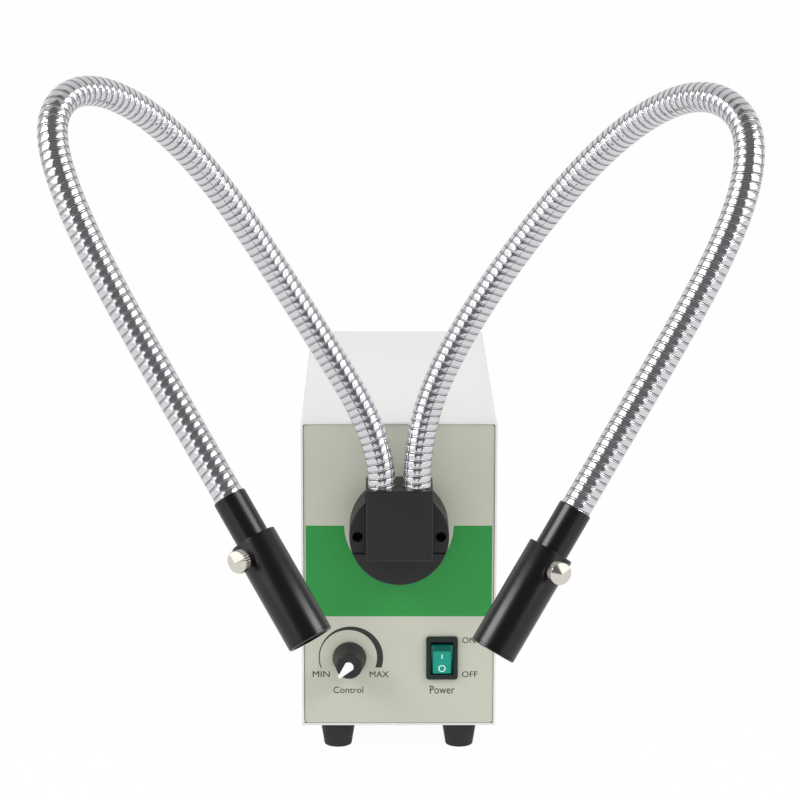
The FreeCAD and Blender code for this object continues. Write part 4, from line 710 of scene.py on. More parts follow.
@dataclass
class Markings:
    """The printing on the front panel. Lengths in millimetres.

    Each label has its piece's name, its word, the two places of its middle, its height and its width.
    """

    panel_front: float = PANEL_FRONT
    lift: float = 0.05
    band_half: float = 43.9
    band_low: float = 65.85
    band_high: float = 110.1
    port_height: float = PORT_HEIGHT
    margin_radius: float = 25.8
    dial_side: float = DIAL_SIDE
    control_height: float = CONTROL_HEIGHT
    arc_outer: float = 15.3
    arc_inner: float = 13.625
    arc_shift: float = -1.225
    arc_drop: float = 4.9
    arc_steps: int = 96
    margin_steps: int = 72
    letter_steps: int = 4
    letter_depth: float = 0.5
    labels: Sequence[tuple[str, str, float, float, float, float]] = (
        ("label_min", "MIN", -36.85, 37.4, 2.9, 8.1),
        ("label_max", "MAX", -9.3, 37.3, 2.9, 9.06),
        ("label_on", "ON", 33.2, 54.05, 2.9, 6.2),
        ("label_off", "OFF", 33.76, 37.25, 2.9, 7.4),
        ("label_control", "Control", -23.95, 29.55, 3.2, 14.2),
        ("label_power", "Power", 20.7, 29.6, 3.9, 11.8))

    def _plate(self, name: str, outline: Sequence[Point], finish: Finish) -> bpy.types.Object:
        """Make a thin printed plate on the panel.

        Args:
            name: the piece's name.
            outline: its (x, z) points, anticlockwise as seen from the front.
            finish: its print.

        Returns:
            The new object.
        """
        form = Form()
        form.prism(outline, -self.lift, self.lift, place=facing_front(0, self.panel_front, 0))
        return form.make(name, [finish])

    def green_band(self) -> None:
        """Print the green band with its round margin about the light port."""
        rise = self.band_high - self.port_height
        turn = math.degrees(math.asin(rise / self.margin_radius))
        outline: list[Point] = [(-self.band_half, self.band_low), (self.band_half, self.band_low),
                                (self.band_half, self.band_high)]
        outline += arc((0.0, self.port_height), self.margin_radius, turn, -180 - turn, self.margin_steps)
        outline.append((-self.band_half, self.band_high))
        settle(self._plate("green_band", outline, GREEN_PRINT), "case", "panel_paint")

    def brightness_arc(self) -> None:
        """Print the arc that widens from the low end to the high end."""
        centre = (self.dial_side, self.control_height)
        inner_centre = (self.dial_side + self.arc_shift, self.control_height)
        outer_turn = math.degrees(math.asin(self.arc_drop / self.arc_outer))
        inner_turn = math.degrees(math.asin(self.arc_drop / self.arc_inner))
        outline = arc(centre, self.arc_outer, -outer_turn, 180 + outer_turn, self.arc_steps)
        outline += arc(inner_centre, self.arc_inner, 180 + inner_turn, -inner_turn, self.arc_steps)
        settle(self._plate("brightness_arc", outline, DARK_PRINT), "case", "panel_paint")

    def label(self, name: str, text: str, x: float, z: float, height: float, width: float) -> None:
        """Print one short word, fitted to its own height and width.

        Args:
            name: the piece's name.
            text: the word.
            x: the middle of the word.
            z: the middle of its capitals.
            height: the capitals' height.
            width: the word's width.
        """
        curve = bpy.data.curves.new(name, "FONT")
        curve.body = text
        curve.resolution_u = self.letter_steps
        curve.extrude = self.letter_depth
        written = bpy.data.objects.new(name + "_text", curve)
        bpy.context.scene.collection.objects.link(written)
        graph = bpy.context.evaluated_depsgraph_get()
        mesh = bpy.data.meshes.new_from_object(written.evaluated_get(graph))
        bpy.data.objects.remove(written)
        places = np.array([vertex.co for vertex in mesh.vertices])
        low, high = places.min(axis=0), places.max(axis=0)
        span = high - low
        fitted = (places - (low + high) / 2) / span * np.array([width, height, 2 * self.lift])
        form = Form()
        form.add([facing_front(x, self.panel_front, z) @ Vector(place) for place in fitted],
                 [list(face.vertices) for face in mesh.polygons])
        settle(form.make(name, [LABEL_PRINT]), "case", "panel_paint")

    def build(self) -> None:
        """Print the band, the arc and the words."""
        self.green_band()
        self.brightness_arc()
        for label in self.labels:
            self.label(*label)


# Light port and electrics

@dataclass
class LightPort:
    """The round housing on the panel that the light guide plugs into, and the light engine behind it."""

    looks: Sequence[tuple[str, Finish]] = (
        ("port_housing", HOUSING_BLACK), ("housing_screws", BEZEL_PLASTIC_AND_RECESS_SHADE), ("lens_holder", RAW_ALUMINIUM),
        ("condenser_lens", LENS_GLASS), ("led_board", POINTER_WHITE), ("heat_sink", RAW_ALUMINIUM),
        ("engine_bracket", ZINC), ("fan_frame", FAN_BLACK), ("fan_rotor", FAN_BLACK), ("fan_screws", ZINC))

    def build(self, frame: dict) -> None:
        """Dress the housing, its screws and what lies behind it."""
        for node, finish in self.looks:
            dress(frame, node, finish)


@dataclass
class Electrics:
    """The boards, the dimmer's body and the mains inlet."""

    looks: Sequence[tuple[str, Finish]] = (
        ("power_supply", BOARD_GREEN), ("driver_board", BOARD_GREEN), ("mains_inlet", INLET_BLACK),
        ("dimmer_body", ZINC), ("dimmer_nut", ZINC), ("dimmer_shaft", ZINC))

    def build(self, frame: dict) -> None:
        """Dress the boards, the dimmer's body and the inlet."""
        for node, finish in self.looks:
            dress(frame, node, finish)


# Controls

@dataclass
class Dimmer:
    """The brightness knob with its white pointer. Lengths in millimetres."""

    side: float = KNOB_SIDE
    height: float = CONTROL_HEIGHT
    seat: float = PANEL_FRONT - KNOB_GAP
    radius: float = 8.0
    face_radius: float = 6.3
    length: float = 13.6
    foot_chamfer: float = 0.3
    skirt_high: float = 0.9
    skirt_end: float = 1.1
    skirt_step: float = 0.12
    edge: float = 0.9
    edge_start: float = 4.0
    edge_steps: int = 8
    crown_inset: float = 0.8
    recess: float = 6.4
    recess_depth: float = 3.2
    bore: float = 3.05
    roof: float = 2.4
    steps: int = 128
    hub_radius: float = 2.45
    hub_offset: float = 0.6
    tip_radius: float = 0.85
    tip_offset: float = 6.55
    proud: float = 0.45
    sink: float = 1.2
    angle: float = 41.5
    hub_steps: int = 28
    tip_steps: int = 12
    softening: float = 0.18
    softening_steps: int = 3

    def place(self) -> Matrix:
        """Return the knob's placement, Z to the front."""
        return facing_front(self.side, self.seat, self.height)

    def knob(self) -> None:
        """Make the knob: a tapered cap with a rounded rim and a hollow back."""
        outline: list[Point] = [(self.recess, 0.0), (self.radius - self.foot_chamfer, 0.0),
                                (self.radius, self.foot_chamfer), (self.radius, self.skirt_high),
                                (self.radius - self.skirt_step, self.skirt_end)]
        outline += [(self.face_radius - self.edge + x, self.length - self.edge + z) for x, z in
                    arc((0.0, 0.0), self.edge, self.edge_start, 90, self.edge_steps)]
        bore_end = self.length - self.roof
        outline += [(self.face_radius - self.edge - self.crown_inset, self.length), (0.0, self.length),
                    (0.0, bore_end), (self.bore, bore_end), (self.bore, self.recess_depth),
                    (self.recess, self.recess_depth)]
        form = Form()
        form.lathe(outline, self.steps)
        piece = form.make("brightness_knob", [KNOB_PLASTIC], place=self.place())
        settle(piece, "dimmer_knob", "knob_plastic", "knob")

    def pointer(self) -> None:
        """Make the raised teardrop pointer."""
        reach = self.tip_offset - self.hub_offset
        lean = math.degrees(math.asin((self.hub_radius - self.tip_radius) / reach))
        hub = arc((0.0, -self.hub_offset), self.hub_radius, lean, 180 - lean, self.hub_steps)
        tip = arc((0.0, -self.tip_offset), self.tip_radius, 180 - lean, 360 + lean, self.tip_steps)
        turn = Matrix.Rotation(math.radians(-self.angle), 4, "Z")
        form = Form()
        form.prism(hub + tip, self.length - self.sink, self.length + self.proud, place=turn)
        piece = form.make("knob_pointer_mark", [POINTER_WHITE], place=self.place())
        soften(piece, self.softening, self.softening_steps)
        settle(piece, "dimmer_knob", "pointer_white", "knob_pointer")

    def build(self) -> None:
        """Make the knob and its pointer."""
        self.knob()
        self.pointer()


@dataclass
class PowerSwitch:
    """The green rocker in its black bezel. Lengths in millimetres."""

    side: float = SWITCH_SIDE
    height: float = CONTROL_HEIGHT
    bezel_front: float = PANEL_FRONT - BEZEL_STAND
    pivot_depth: float = 1.3
    cap_half: float = 5.1
    tilt: float = 10.0
    ridge_rise: float = 4.6
    ridge_reach: float = 2.55
    top_rise: float = 6.9
    top_reach: float = 1.4
    bottom_rise: float = 7.35
    bottom_reach: float = 2.2
    valley_rise: float = -1.0
    valley_reach: float = 1.7
    back_rise: float = 6.6
    back_reach: float = 2.4
    cheek: float = 0.95
    cheek_drop: float = 0.8
    softening: float = 0.25
    softening_steps: int = 2
    softening_angle: float = 12.0
    print_low: float = -0.05
    print_high: float = 0.06
    bar_width: float = 0.55
    bar_height: float = 2.6
    bar_corner: float = 0.1
    bar_corner_steps: int = 2
    bar_middle: float = 2.75
    ring_middle: float = -3.7
    ring_outer: float = 1.75
    ring_inner: float = 1.25
    ring_steps: int = 40

    def place(self) -> Matrix:
        """Return the rocker's placement: X as the case's, Z up and -Y out, tilted to OFF."""
        pivot = Matrix.Translation((self.side, self.bezel_front + self.pivot_depth, self.height))
        return pivot @ Matrix.Rotation(math.radians(self.tilt), 4, "X")

    def cap(self) -> None:
        """Make the cap with its raised end and its bright face; its shoulder, top, cheeks and other faces take
        a darker green as painted shade.
        """
        outline = [(-self.bottom_reach, -self.bottom_rise), (-self.valley_reach, self.valley_rise),
                   (-self.ridge_reach, self.ridge_rise), (-self.top_reach, self.top_rise)]
        back = [(self.back_reach, self.back_rise), (self.back_reach, -self.back_rise)]
        points: list[tuple[float, float, float]] = []
        for half, drop in ((-self.cap_half, self.cheek_drop), (self.cheek - self.cap_half, 0.0),
                           (self.cap_half - self.cheek, 0.0), (self.cap_half, self.cheek_drop)):
            points += [(half, y + drop, z) for y, z in outline] + [(half, y, z) for y, z in back]
        count = len(outline) + len(back)
        form = Form()
        form.points = points
        form.faces = [tuple(range(count)), tuple(range(4 * count - 1, 3 * count - 1, -1))]
        # Mark 1 is painted shade: the ends and every face but the bright middle face.
        form.marks = [1, 1]
        for strip in range(3):
            low = strip * count
            for index in range(count):
                after = (index + 1) % count
                form.faces.append((low + index, low + count + index, low + count + after, low + after))
                form.marks.append(0 if strip == 1 and index in (0, 1) else 1)
        piece = form.make("rocker_cap", [ROCKER_GREEN, ROCKER_PAINTED_SHADE], place=self.place())
        weld(piece)
        soften(piece, self.softening, self.softening_steps, self.softening_angle)
        settle(piece, "power_rocker", "rocker_green", "rocker")

    def legends(self) -> None:
        """Mark the bar and the ring of the switch on the cap's face."""
        bar, ring = Form(), Form()
        rise = self.ridge_rise - self.valley_rise
        slope = math.atan2(self.ridge_reach - self.valley_reach, rise)
        high = self.place() @ face_placement(-self.valley_reach, self.valley_rise, slope)
        bar_outline = rounded_rectangle(self.bar_width, self.bar_height, self.bar_corner,
                                        self.bar_corner_steps, (0.0, self.bar_middle))
        bar.prism(bar_outline, self.print_low, self.print_high)
        drop = math.atan2(self.valley_reach - self.bottom_reach, self.bottom_rise + self.valley_rise)
        low = self.place() @ face_placement(-self.valley_reach, self.valley_rise, drop)
        circle, hole = (arc((0.0, self.ring_middle), radius, 0, 360, self.ring_steps)[:-1]
                        for radius in (self.ring_outer, self.ring_inner))
        points = [(x, y, z) for z in (self.print_low, self.print_high) for outline in (circle, hole)
                  for x, y in outline]
        outer_low, inner_low, outer_high, inner_high = (row * self.ring_steps for row in range(4))
        faces = []
        for index in range(self.ring_steps):
            after = (index + 1) % self.ring_steps
            for near, far in ((outer_low, outer_high), (outer_high, inner_high), (inner_high, inner_low),
                              (inner_low, outer_low)):
                faces.append((near + index, near + after, far + after, far + index))
        ring.add(points, faces)
        settle(bar.make("rocker_bar", [LEGEND_WHITE], place=high), "power_rocker", "rocker_green")
        settle(ring.make("rocker_ring", [LEGEND_WHITE], place=low), "power_rocker", "rocker_green")

    def build(self, frame: dict) -> None:
        """Dress the bezel and make the rocker."""
        dress(frame, "switch_body", BEZEL_PLASTIC_AND_RECESS_SHADE)
        self.cap()
        self.legends()


def face_placement(reach: float, rise: float, slope: float) -> Matrix:
    """Return a placement on a sloping front face: X as it is, Y up the face, Z outward.

    Args:
        reach: the point's place along Y.
        rise: its place along Z.
        slope: how far the face leans, in radians.

    Returns:
        The placement.
    """
    side = Vector((1, 0, 0))
    up = Vector((0, -math.sin(slope), math.cos(slope)))
    return placement((side, up, side.cross(up)), (0, reach, rise))


def weld(piece: bpy.types.Object) -> None:
    """Join points of a mesh that lie in one place and set its faces outward.

    Args:
        piece: the object to change.
    """
    mesh = bmesh.new()
    mesh.from_mesh(piece.data)
    bmesh.ops.remove_doubles(mesh, verts=mesh.verts, dist=WELD_DISTANCE)
    bmesh.ops.recalc_face_normals(mesh, faces=mesh.faces)
    mesh.to_mesh(piece.data)
    mesh.free()


# Light guide

@dataclass
class Route:
    """A gooseneck's line: a smooth curve through the air from the head's roof. Lengths in millimetres.

    Each of its poles is a share of the rise outward, forward and up from the root.
    """

    side: int
    shares: Sequence[tuple[float, float, float]]
    rise: float = 200.0
    root_side: float = 8.0
    root_depth: float = PANEL_FRONT - NECK_REACH
    root_height: float = PORT_HEIGHT + NECK_RISE
    plane: tuple[float, float, float] = (0.82, 0.42, -0.39)
    samples: int = 6000

    def __post_init__(self) -> None:
        """Work out the curve's points and the way along it."""
        root = np.array([self.side * self.root_side, self.root_depth, self.root_height])
        turned = np.array([[self.side * outward, -forward, upward]
                           for outward, forward, upward in self.shares])
        self.poles = root + turned * self.rise
        steps = np.linspace(0, 1, self.samples)
        self.line = spline_points(self.poles, steps)
        chords = np.linalg.norm(np.diff(self.line, axis=0), axis=1)
        self.ways = np.concatenate([[0.0], np.cumsum(chords)])
        self.length = float(self.ways[-1])
        slopes = np.gradient(self.line, self.ways, axis=0)
        self.slopes = slopes / np.linalg.norm(slopes, axis=1)[:, None]

    def at(self, distances: np.ndarray) -> tuple[np.ndarray, np.ndarray, np.ndarray, np.ndarray]:
        """Find places along the route, which runs on straight past its ends.

        Args:
            distances: how far along they are.

        Returns:
            Their points, tangents and two cross axes.
        """
        held = np.clip(distances, 0.0, self.length)
        points = np.stack([np.interp(held, self.ways, self.line[:, axis]) for axis in range(3)], axis=-1)
        along = np.stack([np.interp(held, self.ways, self.slopes[:, axis]) for axis in range(3)], axis=-1)
        along /= np.linalg.norm(along, axis=-1)[..., None]
        points = points + along * (distances - held)[..., None]
        reference = np.array([self.side * self.plane[0], self.plane[1], self.plane[2]])
        across = reference - along * (along @ reference)[..., None]
        across /= np.linalg.norm(across, axis=-1)[..., None]
        return points, along, across, np.cross(along, across)

    def place(self, distance: float) -> Matrix:
        """Find a placement with Z along the route and X towards the front.

        Args:
            distance: how far along it is.

        Returns:
            The placement.
        """
        point, along, _, _ = self.at(np.array([distance]))
        axis = Vector(along[0])
        front = Vector((0, -1, 0))
        front = (front - axis * front.dot(axis)).normalized()
        return placement((front, axis.cross(front), axis), point[0])


def spline_points(poles: np.ndarray, steps: np.ndarray, degree: int = 3) -> np.ndarray:
    """Return points on a clamped, evenly knotted spline.

    Args:
        poles: its control points.
        steps: shares of its parameter, from 0 to 1.
        degree: the spline's degree.

    Returns:
        One point for each step.
    """
    count = len(poles)
    inner = np.linspace(0, 1, count - degree + 1)
    knots = np.concatenate([[0.0] * degree, inner, [1.0] * degree])
    held = np.clip(steps, 0, SPLINE_END)
    basis = ((held[:, None] >= knots[:-1]) & (held[:, None] < knots[1:])).astype(float)
    for order in range(1, degree + 1):
        raised = np.zeros((len(held), len(knots) - 1 - order))
        for index in range(raised.shape[1]):
            left_span = knots[index + order] - knots[index]
            right_span = knots[index + order + 1] - knots[index + 1]
            if left_span > 0:
                raised[:, index] += (held - knots[index]) / left_span * basis[:, index]
            if right_span > 0:
                raised[:, index] += (knots[index + order + 1] - held) / right_span * basis[:, index + 1]
        basis = raised
    return basis @ poles


@dataclass
class Gooseneck:
    """One neck of interlocked steel turns, made as five stretches about its joints. Lengths in millimetres.

    Each row of a turn's profile has its share of the pitch, its radius and the number of its finish: 0 for
    chrome, 1 for painted shade in the seams' grooves.
    """

    name: str
    route: Route
    pitch: float = 3.6
    columns: int = 48
    inner_radius: float = 5.7
    root_rise: float = 3.05
    end_gap: float = 0.2
    bend_reach: float = 21.0
    start: float = -3.5
    profile_shares: Sequence[tuple[float, float, int]] = (
        (0.0, 6.2, 1), (0.035, 6.2, 1), (0.05, 6.4, 0), (0.075, 6.45, 0), (0.14, 6.46, 0), (0.16, 6.43, 1),
        (0.18, 6.32, 1), (0.21, 6.32, 1), (0.225, 6.44, 0), (0.255, 6.48, 0), (0.4, 6.505, 0), (0.7, 6.51, 0),
        (0.91, 6.48, 0), (0.94, 6.44, 1), (0.96, 6.36, 1))

    def joints(self) -> list[float]:
        """Return the joints' distances along the route."""
        reach = (self.route.length - self.root_rise) / NECK_STRETCHES
        return [self.root_rise + index * reach for index in range(NECK_STRETCHES)]

    def build(self) -> None:
        """Make the five overlapping stretches of hose, one about each joint."""
        end = self.route.length - self.end_gap
        turns = round((end - self.start) / self.pitch) - 1
        pitch = (end - self.start) / (turns + 1)
        joints = self.joints()
        reach = joints[1] - joints[0]
        cuts = [0]
        for joint in joints[:-1]:
            cuts.append(round(((joint + reach / 2 - self.start) / pitch - 0.5) * self.columns))
        cuts.append(turns * self.columns)
        for index, joint in enumerate(joints):
            form = self._stretch(cuts[index], cuts[index + 1], pitch)
            name = "%s_hose_turns_%d" % (self.name, index + 1)
            # Finish 1 is painted shade on the seams' grooves, the inside and the cut ends.
            piece = form.make(name, [CHROME, SEAM_PAINTED_SHADE], FINE_CRISP_ANGLE)
            way = self.route.at(np.array([joint]))
            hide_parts("%s_hose_%d" % (self.name, index + 1))
            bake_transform(piece)

    def _stretch(self, first: int, last: int, pitch: float) -> Form:
        """Make one stretch of turns as a closed shell.

        Args:
            first: the first column of the helix.
            last: its last column.
            pitch: the length of one turn.

        Returns:
            The stretch's form.
        """
        rows = len(self.profile_shares)
        indices = np.arange(first, last + 1)
        following = np.arange(first, last + self.columns + 1)
        shares = np.array([share for share, _, _ in self.profile_shares])
        radii = np.array([radius for _, radius, _ in self.profile_shares])
        ways = self.start + (indices[:, None] / self.columns + shares[None, :]) * pitch
        outer = self._skin(indices, ways, np.broadcast_to(radii, ways.shape))
        top = np.arange(last + 1, last + self.columns + 1)
        top_ways = self.start + (top[:, None] / self.columns) * pitch
        closing = self._skin(top, top_ways, np.full(top_ways.shape, radii[0]))
        inner_ways = self.start + (following[:, None] / self.columns) * pitch
        inner = self._skin(following, inner_ways, np.full(inner_ways.shape, self.inner_radius))
        points = np.concatenate([outer.reshape(-1, 3), closing.reshape(-1, 3), inner.reshape(-1, 3)])
        count = last - first
        base_top = (count + 1) * rows
        base_inner = base_top + self.columns

        def outer_at(column: int, row: int) -> int:
            """Find the number of an outer point, counted on to the next turn past the last row.

            Args:
                column: its column of the helix, from the first.
                row: its row in the turn's profile.

            Returns:
                The point's number.
            """
            if row == rows:
                column += self.columns
                row = 0
            if column > count:
                return base_top + column - count - 1
            return column * rows + row

        form = Form()
        faces, marks = [], []
        for column in range(count):
            for row in range(rows):
                faces.append((outer_at(column, row), outer_at(column + 1, row), outer_at(column + 1, row + 1),
                              outer_at(column, row + 1)))
                marks.append(self.profile_shares[row][2])
        for column in range(count):
            low, high = base_inner + column, base_inner + column + self.columns
            faces.append((low, high, high + 1, low + 1))
            marks.append(1)
        for column in range(self.columns):
            low, high = base_inner + column, count + column
            faces.append((outer_at(column, 0), low, low + 1, outer_at(column + 1, 0)))
            faces.append((outer_at(high, 0), outer_at(high + 1, 0), base_inner + high + 1, base_inner + high))
            marks += [1, 1]
        for column, flip in ((0, False), (count, True)):
            edge = [outer_at(column, row) for row in range(rows + 1)]
            edge += [base_inner + column + self.columns, base_inner + column]
            faces.append(tuple(edge[::-1] if flip else edge))
            marks.append(1)
        form.points = [tuple(point) for point in points]
        form.faces = [tuple(int(corner) for corner in face) for face in faces]
        form.marks = marks
        return form

    def _skin(self, indices: np.ndarray, ways: np.ndarray, radii: np.ndarray) -> np.ndarray:
        """Lay points round the route.

        Args:
            indices: the helix columns that they are on.
            ways: their distances along the route, a row for each column.
            radii: their distances from it.

        Returns:
            The points.
        """
        turn = FULL_TURN * indices / self.columns
        centres, _, across, beside = self.route.at(ways)
        out = across * np.cos(turn)[:, None, None] + beside * np.sin(turn)[:, None, None]
        return centres + out * radii[..., None]


@dataclass
class Tip:
    """The sleeve, lens barrel, lens and thumbscrew at a neck's end. Lengths in millimetres.

    Each row of the screw head's profile has its radius, its rise above the head's foot and its share of the
    knurl's depth.
    """

    name: str
    place: Matrix
    screw_turn: float
    sleeve_radius: float = 7.3
    sleeve_shown: float = 14.2
    sleeve_inside: float = 22.0
    socket_depth: float = 6.0
    socket_radius: float = 6.6
    bore: float = 3.9
    barrel_radius: float = 10.0
    barrel_length: float = 49.0
    guide_length: float = 32.0
    guide_radius: float = 7.36
    mouth_radius: float = 8.0
    lens_radius: float = 8.6
    lens_rim: float = 2.0
    lens_crown: float = 2.2
    lens_seat: float = 2.0
    lens_room: float = 0.5
    lens_play: float = 0.1
    lens_steps: int = 14
    steps: int = 96
    barrel_steps: int = 128
    edge: float = 0.4
    guide_chamfer: float = 0.2
    rim_step: float = 0.1
    rim_rise: float = 0.15
    line_drops: tuple[float, ...] = (1.5, 1.42, 1.3, 1.22)
    thread_drop: float = 0.2
    thread_pitch: float = 0.4
    thread_depth: float = 0.18
    thread_turns: int = 4
    screw_drop: float = 6.8
    screw_stand: float = 2.8
    screw_stem: float = 1.5
    screw_tip: float = 7.55
    screw_point: float = 5.86
    head_profile_shares: Sequence[tuple[float, float, float]] = (
        (3.4, 0.0, 0.0), (4.3, 0.5, 0.0), (4.65, 0.8, 0.3), (5.0, 1.1, 1.0), (5.0, 4.0, 1.0),
        (4.8, 4.28, 0.3), (4.65, 4.4, 0.0), (0.3, 5.8025, 0.0))
    knurls: int = 30
    knurl_steps: int = 6
    knurl_depth: float = 0.35
    knurl_rows: tuple[int, ...] = (4, 5, 6)
    valley_steps: tuple[int, ...] = (2, 3)

    def sleeve(self) -> None:
        """Make the black sleeve with its socket for the hose."""
        end = self.sleeve_shown + self.sleeve_inside
        radius, edge = self.sleeve_radius, self.edge
        outline: list[Point] = [(self.socket_radius, -self.socket_depth), (radius - edge, -self.socket_depth),
                                (radius, edge - self.socket_depth), (radius, end - edge),
                                (radius - edge, end), (self.bore, end), (self.bore, 0.0),
                                (self.socket_radius, 0.0)]
        form = Form()
        form.lathe(outline, self.steps)
        piece = form.make(self.name + "_end_sleeve", [BARREL_BLACK], place=self.place)
        settle(piece, self.name + "_neck_5", "black_aluminium", self.name + "_sleeve")

    def barrel(self) -> None:
        """Make the lens barrel with its chamfered rims, guide bore and threaded mouth."""
        top = self.sleeve_shown
        end = top + self.barrel_length
        radius, edge = self.barrel_radius, self.edge
        chamfer, step, mouth = self.guide_chamfer, self.rim_step, self.mouth_radius
        outline: list[Point] = [(self.guide_radius, top + chamfer), (self.guide_radius + chamfer, top),
                                (radius - edge, top), (radius - step, top + self.rim_rise),
                                (radius, top + edge)]
        outline += [(radius - depth, end - drop)
                    for depth, drop in zip((0.0, step, step, 0.0), self.line_drops)]
        outline += [(radius, end - edge), (radius - edge, end), (mouth, end)]
        for index in range(self.thread_turns):
            low = end - self.thread_drop - index * self.thread_pitch
            outline += [(mouth, low), (mouth + self.thread_depth, low - self.thread_pitch / 2)]
        groove = end - self.lens_seat
        groove_end = groove - self.lens_rim - self.lens_room
        groove_radius = self.lens_radius + self.lens_play
        outline += [(mouth, groove), (groove_radius, groove + self.lens_play), (groove_radius, groove_end),
                    (mouth, groove_end), (mouth, top + self.guide_length),
                    (self.guide_radius, top + self.guide_length)]
        form = Form()
        form.lathe(outline, self.barrel_steps)
        piece = form.make(self.name + "_lens_barrel", [BARREL_BLACK], place=self.place)
        settle(piece, self.name + "_barrel", "black_aluminium", self.name + "_barrel")

    def lens(self) -> None:
        """Make the crowned glass lens behind the barrel's mouth."""
        seat = self.sleeve_shown + self.barrel_length - self.lens_seat
        sphere = (self.lens_radius ** 2 + self.lens_crown ** 2) / (2 * self.lens_crown)
        turn = math.degrees(math.asin(self.lens_radius / sphere))
        centre = (0.0, seat - self.lens_rim - self.lens_crown + sphere)
        crown = [(max(0.0, x), z) for x, z in arc(centre, sphere, -90, turn - 90, self.lens_steps)]
        crown[0] = (0.0, crown[0][1])
        form = Form()
        form.lathe(crown + [(self.lens_radius, seat), (0.0, seat)], self.steps)
        piece = form.make(self.name + "_front_lens", [LENS_GLASS], place=self.place)
        settle(piece, self.name + "_barrel", "lens_glass", self.name + "_tip_lens")

    def thumbscrew(self) -> None:
        """Make the knurled thumbscrew with its low conical face, and painted shade in its knurl's valleys."""
        turn = math.radians(self.screw_turn)
        out = Vector((math.cos(turn), math.sin(turn), 0))
        quarter = out.to_track_quat("Z", "Y").to_matrix().to_4x4()
        local = Matrix.Translation((0, 0, self.sleeve_shown + self.screw_drop)) @ quarter
        low = self.barrel_radius + self.screw_stand
        rows = [(self.screw_stem, self.screw_tip, 0.0), (self.screw_stem, low, 0.0)]
        rows += [(radius, low + rise, share) for radius, rise, share in self.head_profile_shares]
        steps = self.knurls * self.knurl_steps
        form = Form()
        points, faces, painted_shade_faces = [(0.0, 0.0, self.screw_tip)], [], []
        for radius, height, share in rows:
            for step in range(steps):
                angle = FULL_TURN * step / steps
                wave = abs(2 * ((step / self.knurl_steps) % 1.0) - 1)
                reach = radius - self.knurl_depth * share * wave
                points.append((reach * math.cos(angle), reach * math.sin(angle), height))
        points.append((0.0, 0.0, low + self.screw_point))
        last = len(points) - 1
        for step in range(steps):
            after = (step + 1) % steps
            faces.append((0, 1 + after, 1 + step))
            for row in range(len(rows) - 1):
                base = 1 + row * steps
                # The knurl's valley faces take mark 1, painted shade.
                if row in self.knurl_rows and step % self.knurl_steps in self.valley_steps:
                    painted_shade_faces.append(len(faces))
                faces.append((base + step, base + after, base + steps + after, base + steps + step))
            base = 1 + (len(rows) - 1) * steps
            faces.append((base + step, base + after, last))
        form.add(points, faces)
        for face in painted_shade_faces:
            form.marks[face] = 1
        piece = form.make(self.name + "_knurled_screw", [NICKEL, KNURL_PAINTED_SHADE], FINE_CRISP_ANGLE,
                          self.place @ local)
        settle(piece, self.name + "_thumbscrew", "nickel", self.name + "_thumbscrew")

    def build(self) -> None:
        """Make the tip's pieces."""
        self.sleeve()
        self.barrel()
        self.lens()
        self.thumbscrew()


@dataclass
class LightGuide:
    """The forked light guide: head block, goosenecks and tips."""

    left_shares: Sequence[tuple[float, float, float]] = (
        (0.0, 0.0, 0.0), (0.0, 0.0, 0.107), (0.105, -0.015, 0.286), (0.246, -0.006, 0.514),
        (0.386, 0.063, 0.745), (0.533, 0.189, 0.912), (0.652, 0.32, 0.968), (0.712, 0.412, 0.908),
        (0.679, 0.463, 0.772), (0.585, 0.505, 0.576), (0.454, 0.561, 0.353), (0.306, 0.65, 0.111))
    right_shares: Sequence[tuple[float, float, float]] = (
        (0.0, 0.0, 0.0), (0.0, 0.0, 0.152), (0.09, -0.014, 0.35), (0.235, -0.002, 0.566),
        (0.386, 0.071, 0.773), (0.526, 0.201, 0.912), (0.633, 0.337, 0.954), (0.704, 0.437, 0.894),
        (0.689, 0.493, 0.76), (0.61, 0.53, 0.577), (0.475, 0.573, 0.353), (0.311, 0.643, 0.083))
    left_screw_turn: float = 29.0
    right_screw_turn: float = -19.0
    looks: Sequence[tuple[str, Finish]] = (("head_block", HEAD_BLACK), ("guide_plug", COLLAR_CHROME),
                                           ("head_bundle", FIBRE_GLASS), ("neck_collars", COLLAR_CHROME))

    def build(self, frame: dict) -> None:
        """Dress the head and make both necks with their tips.
        """
        for node, finish in self.looks:
            dress(frame, node, finish)
        for name, side, shares, turn in (("left", -1, self.left_shares, self.left_screw_turn),
                                         ("right", 1, self.right_shares, self.right_screw_turn)):
            for index in range(NECK_STRETCHES):
                dress(frame, "%s_fibre_%d" % (name, index + 1), FIBRE_GLASS)
            route = Route(side, shares)
            Gooseneck(name, route).build()
            Tip(name, route.place(route.length), turn).build()


# Studio

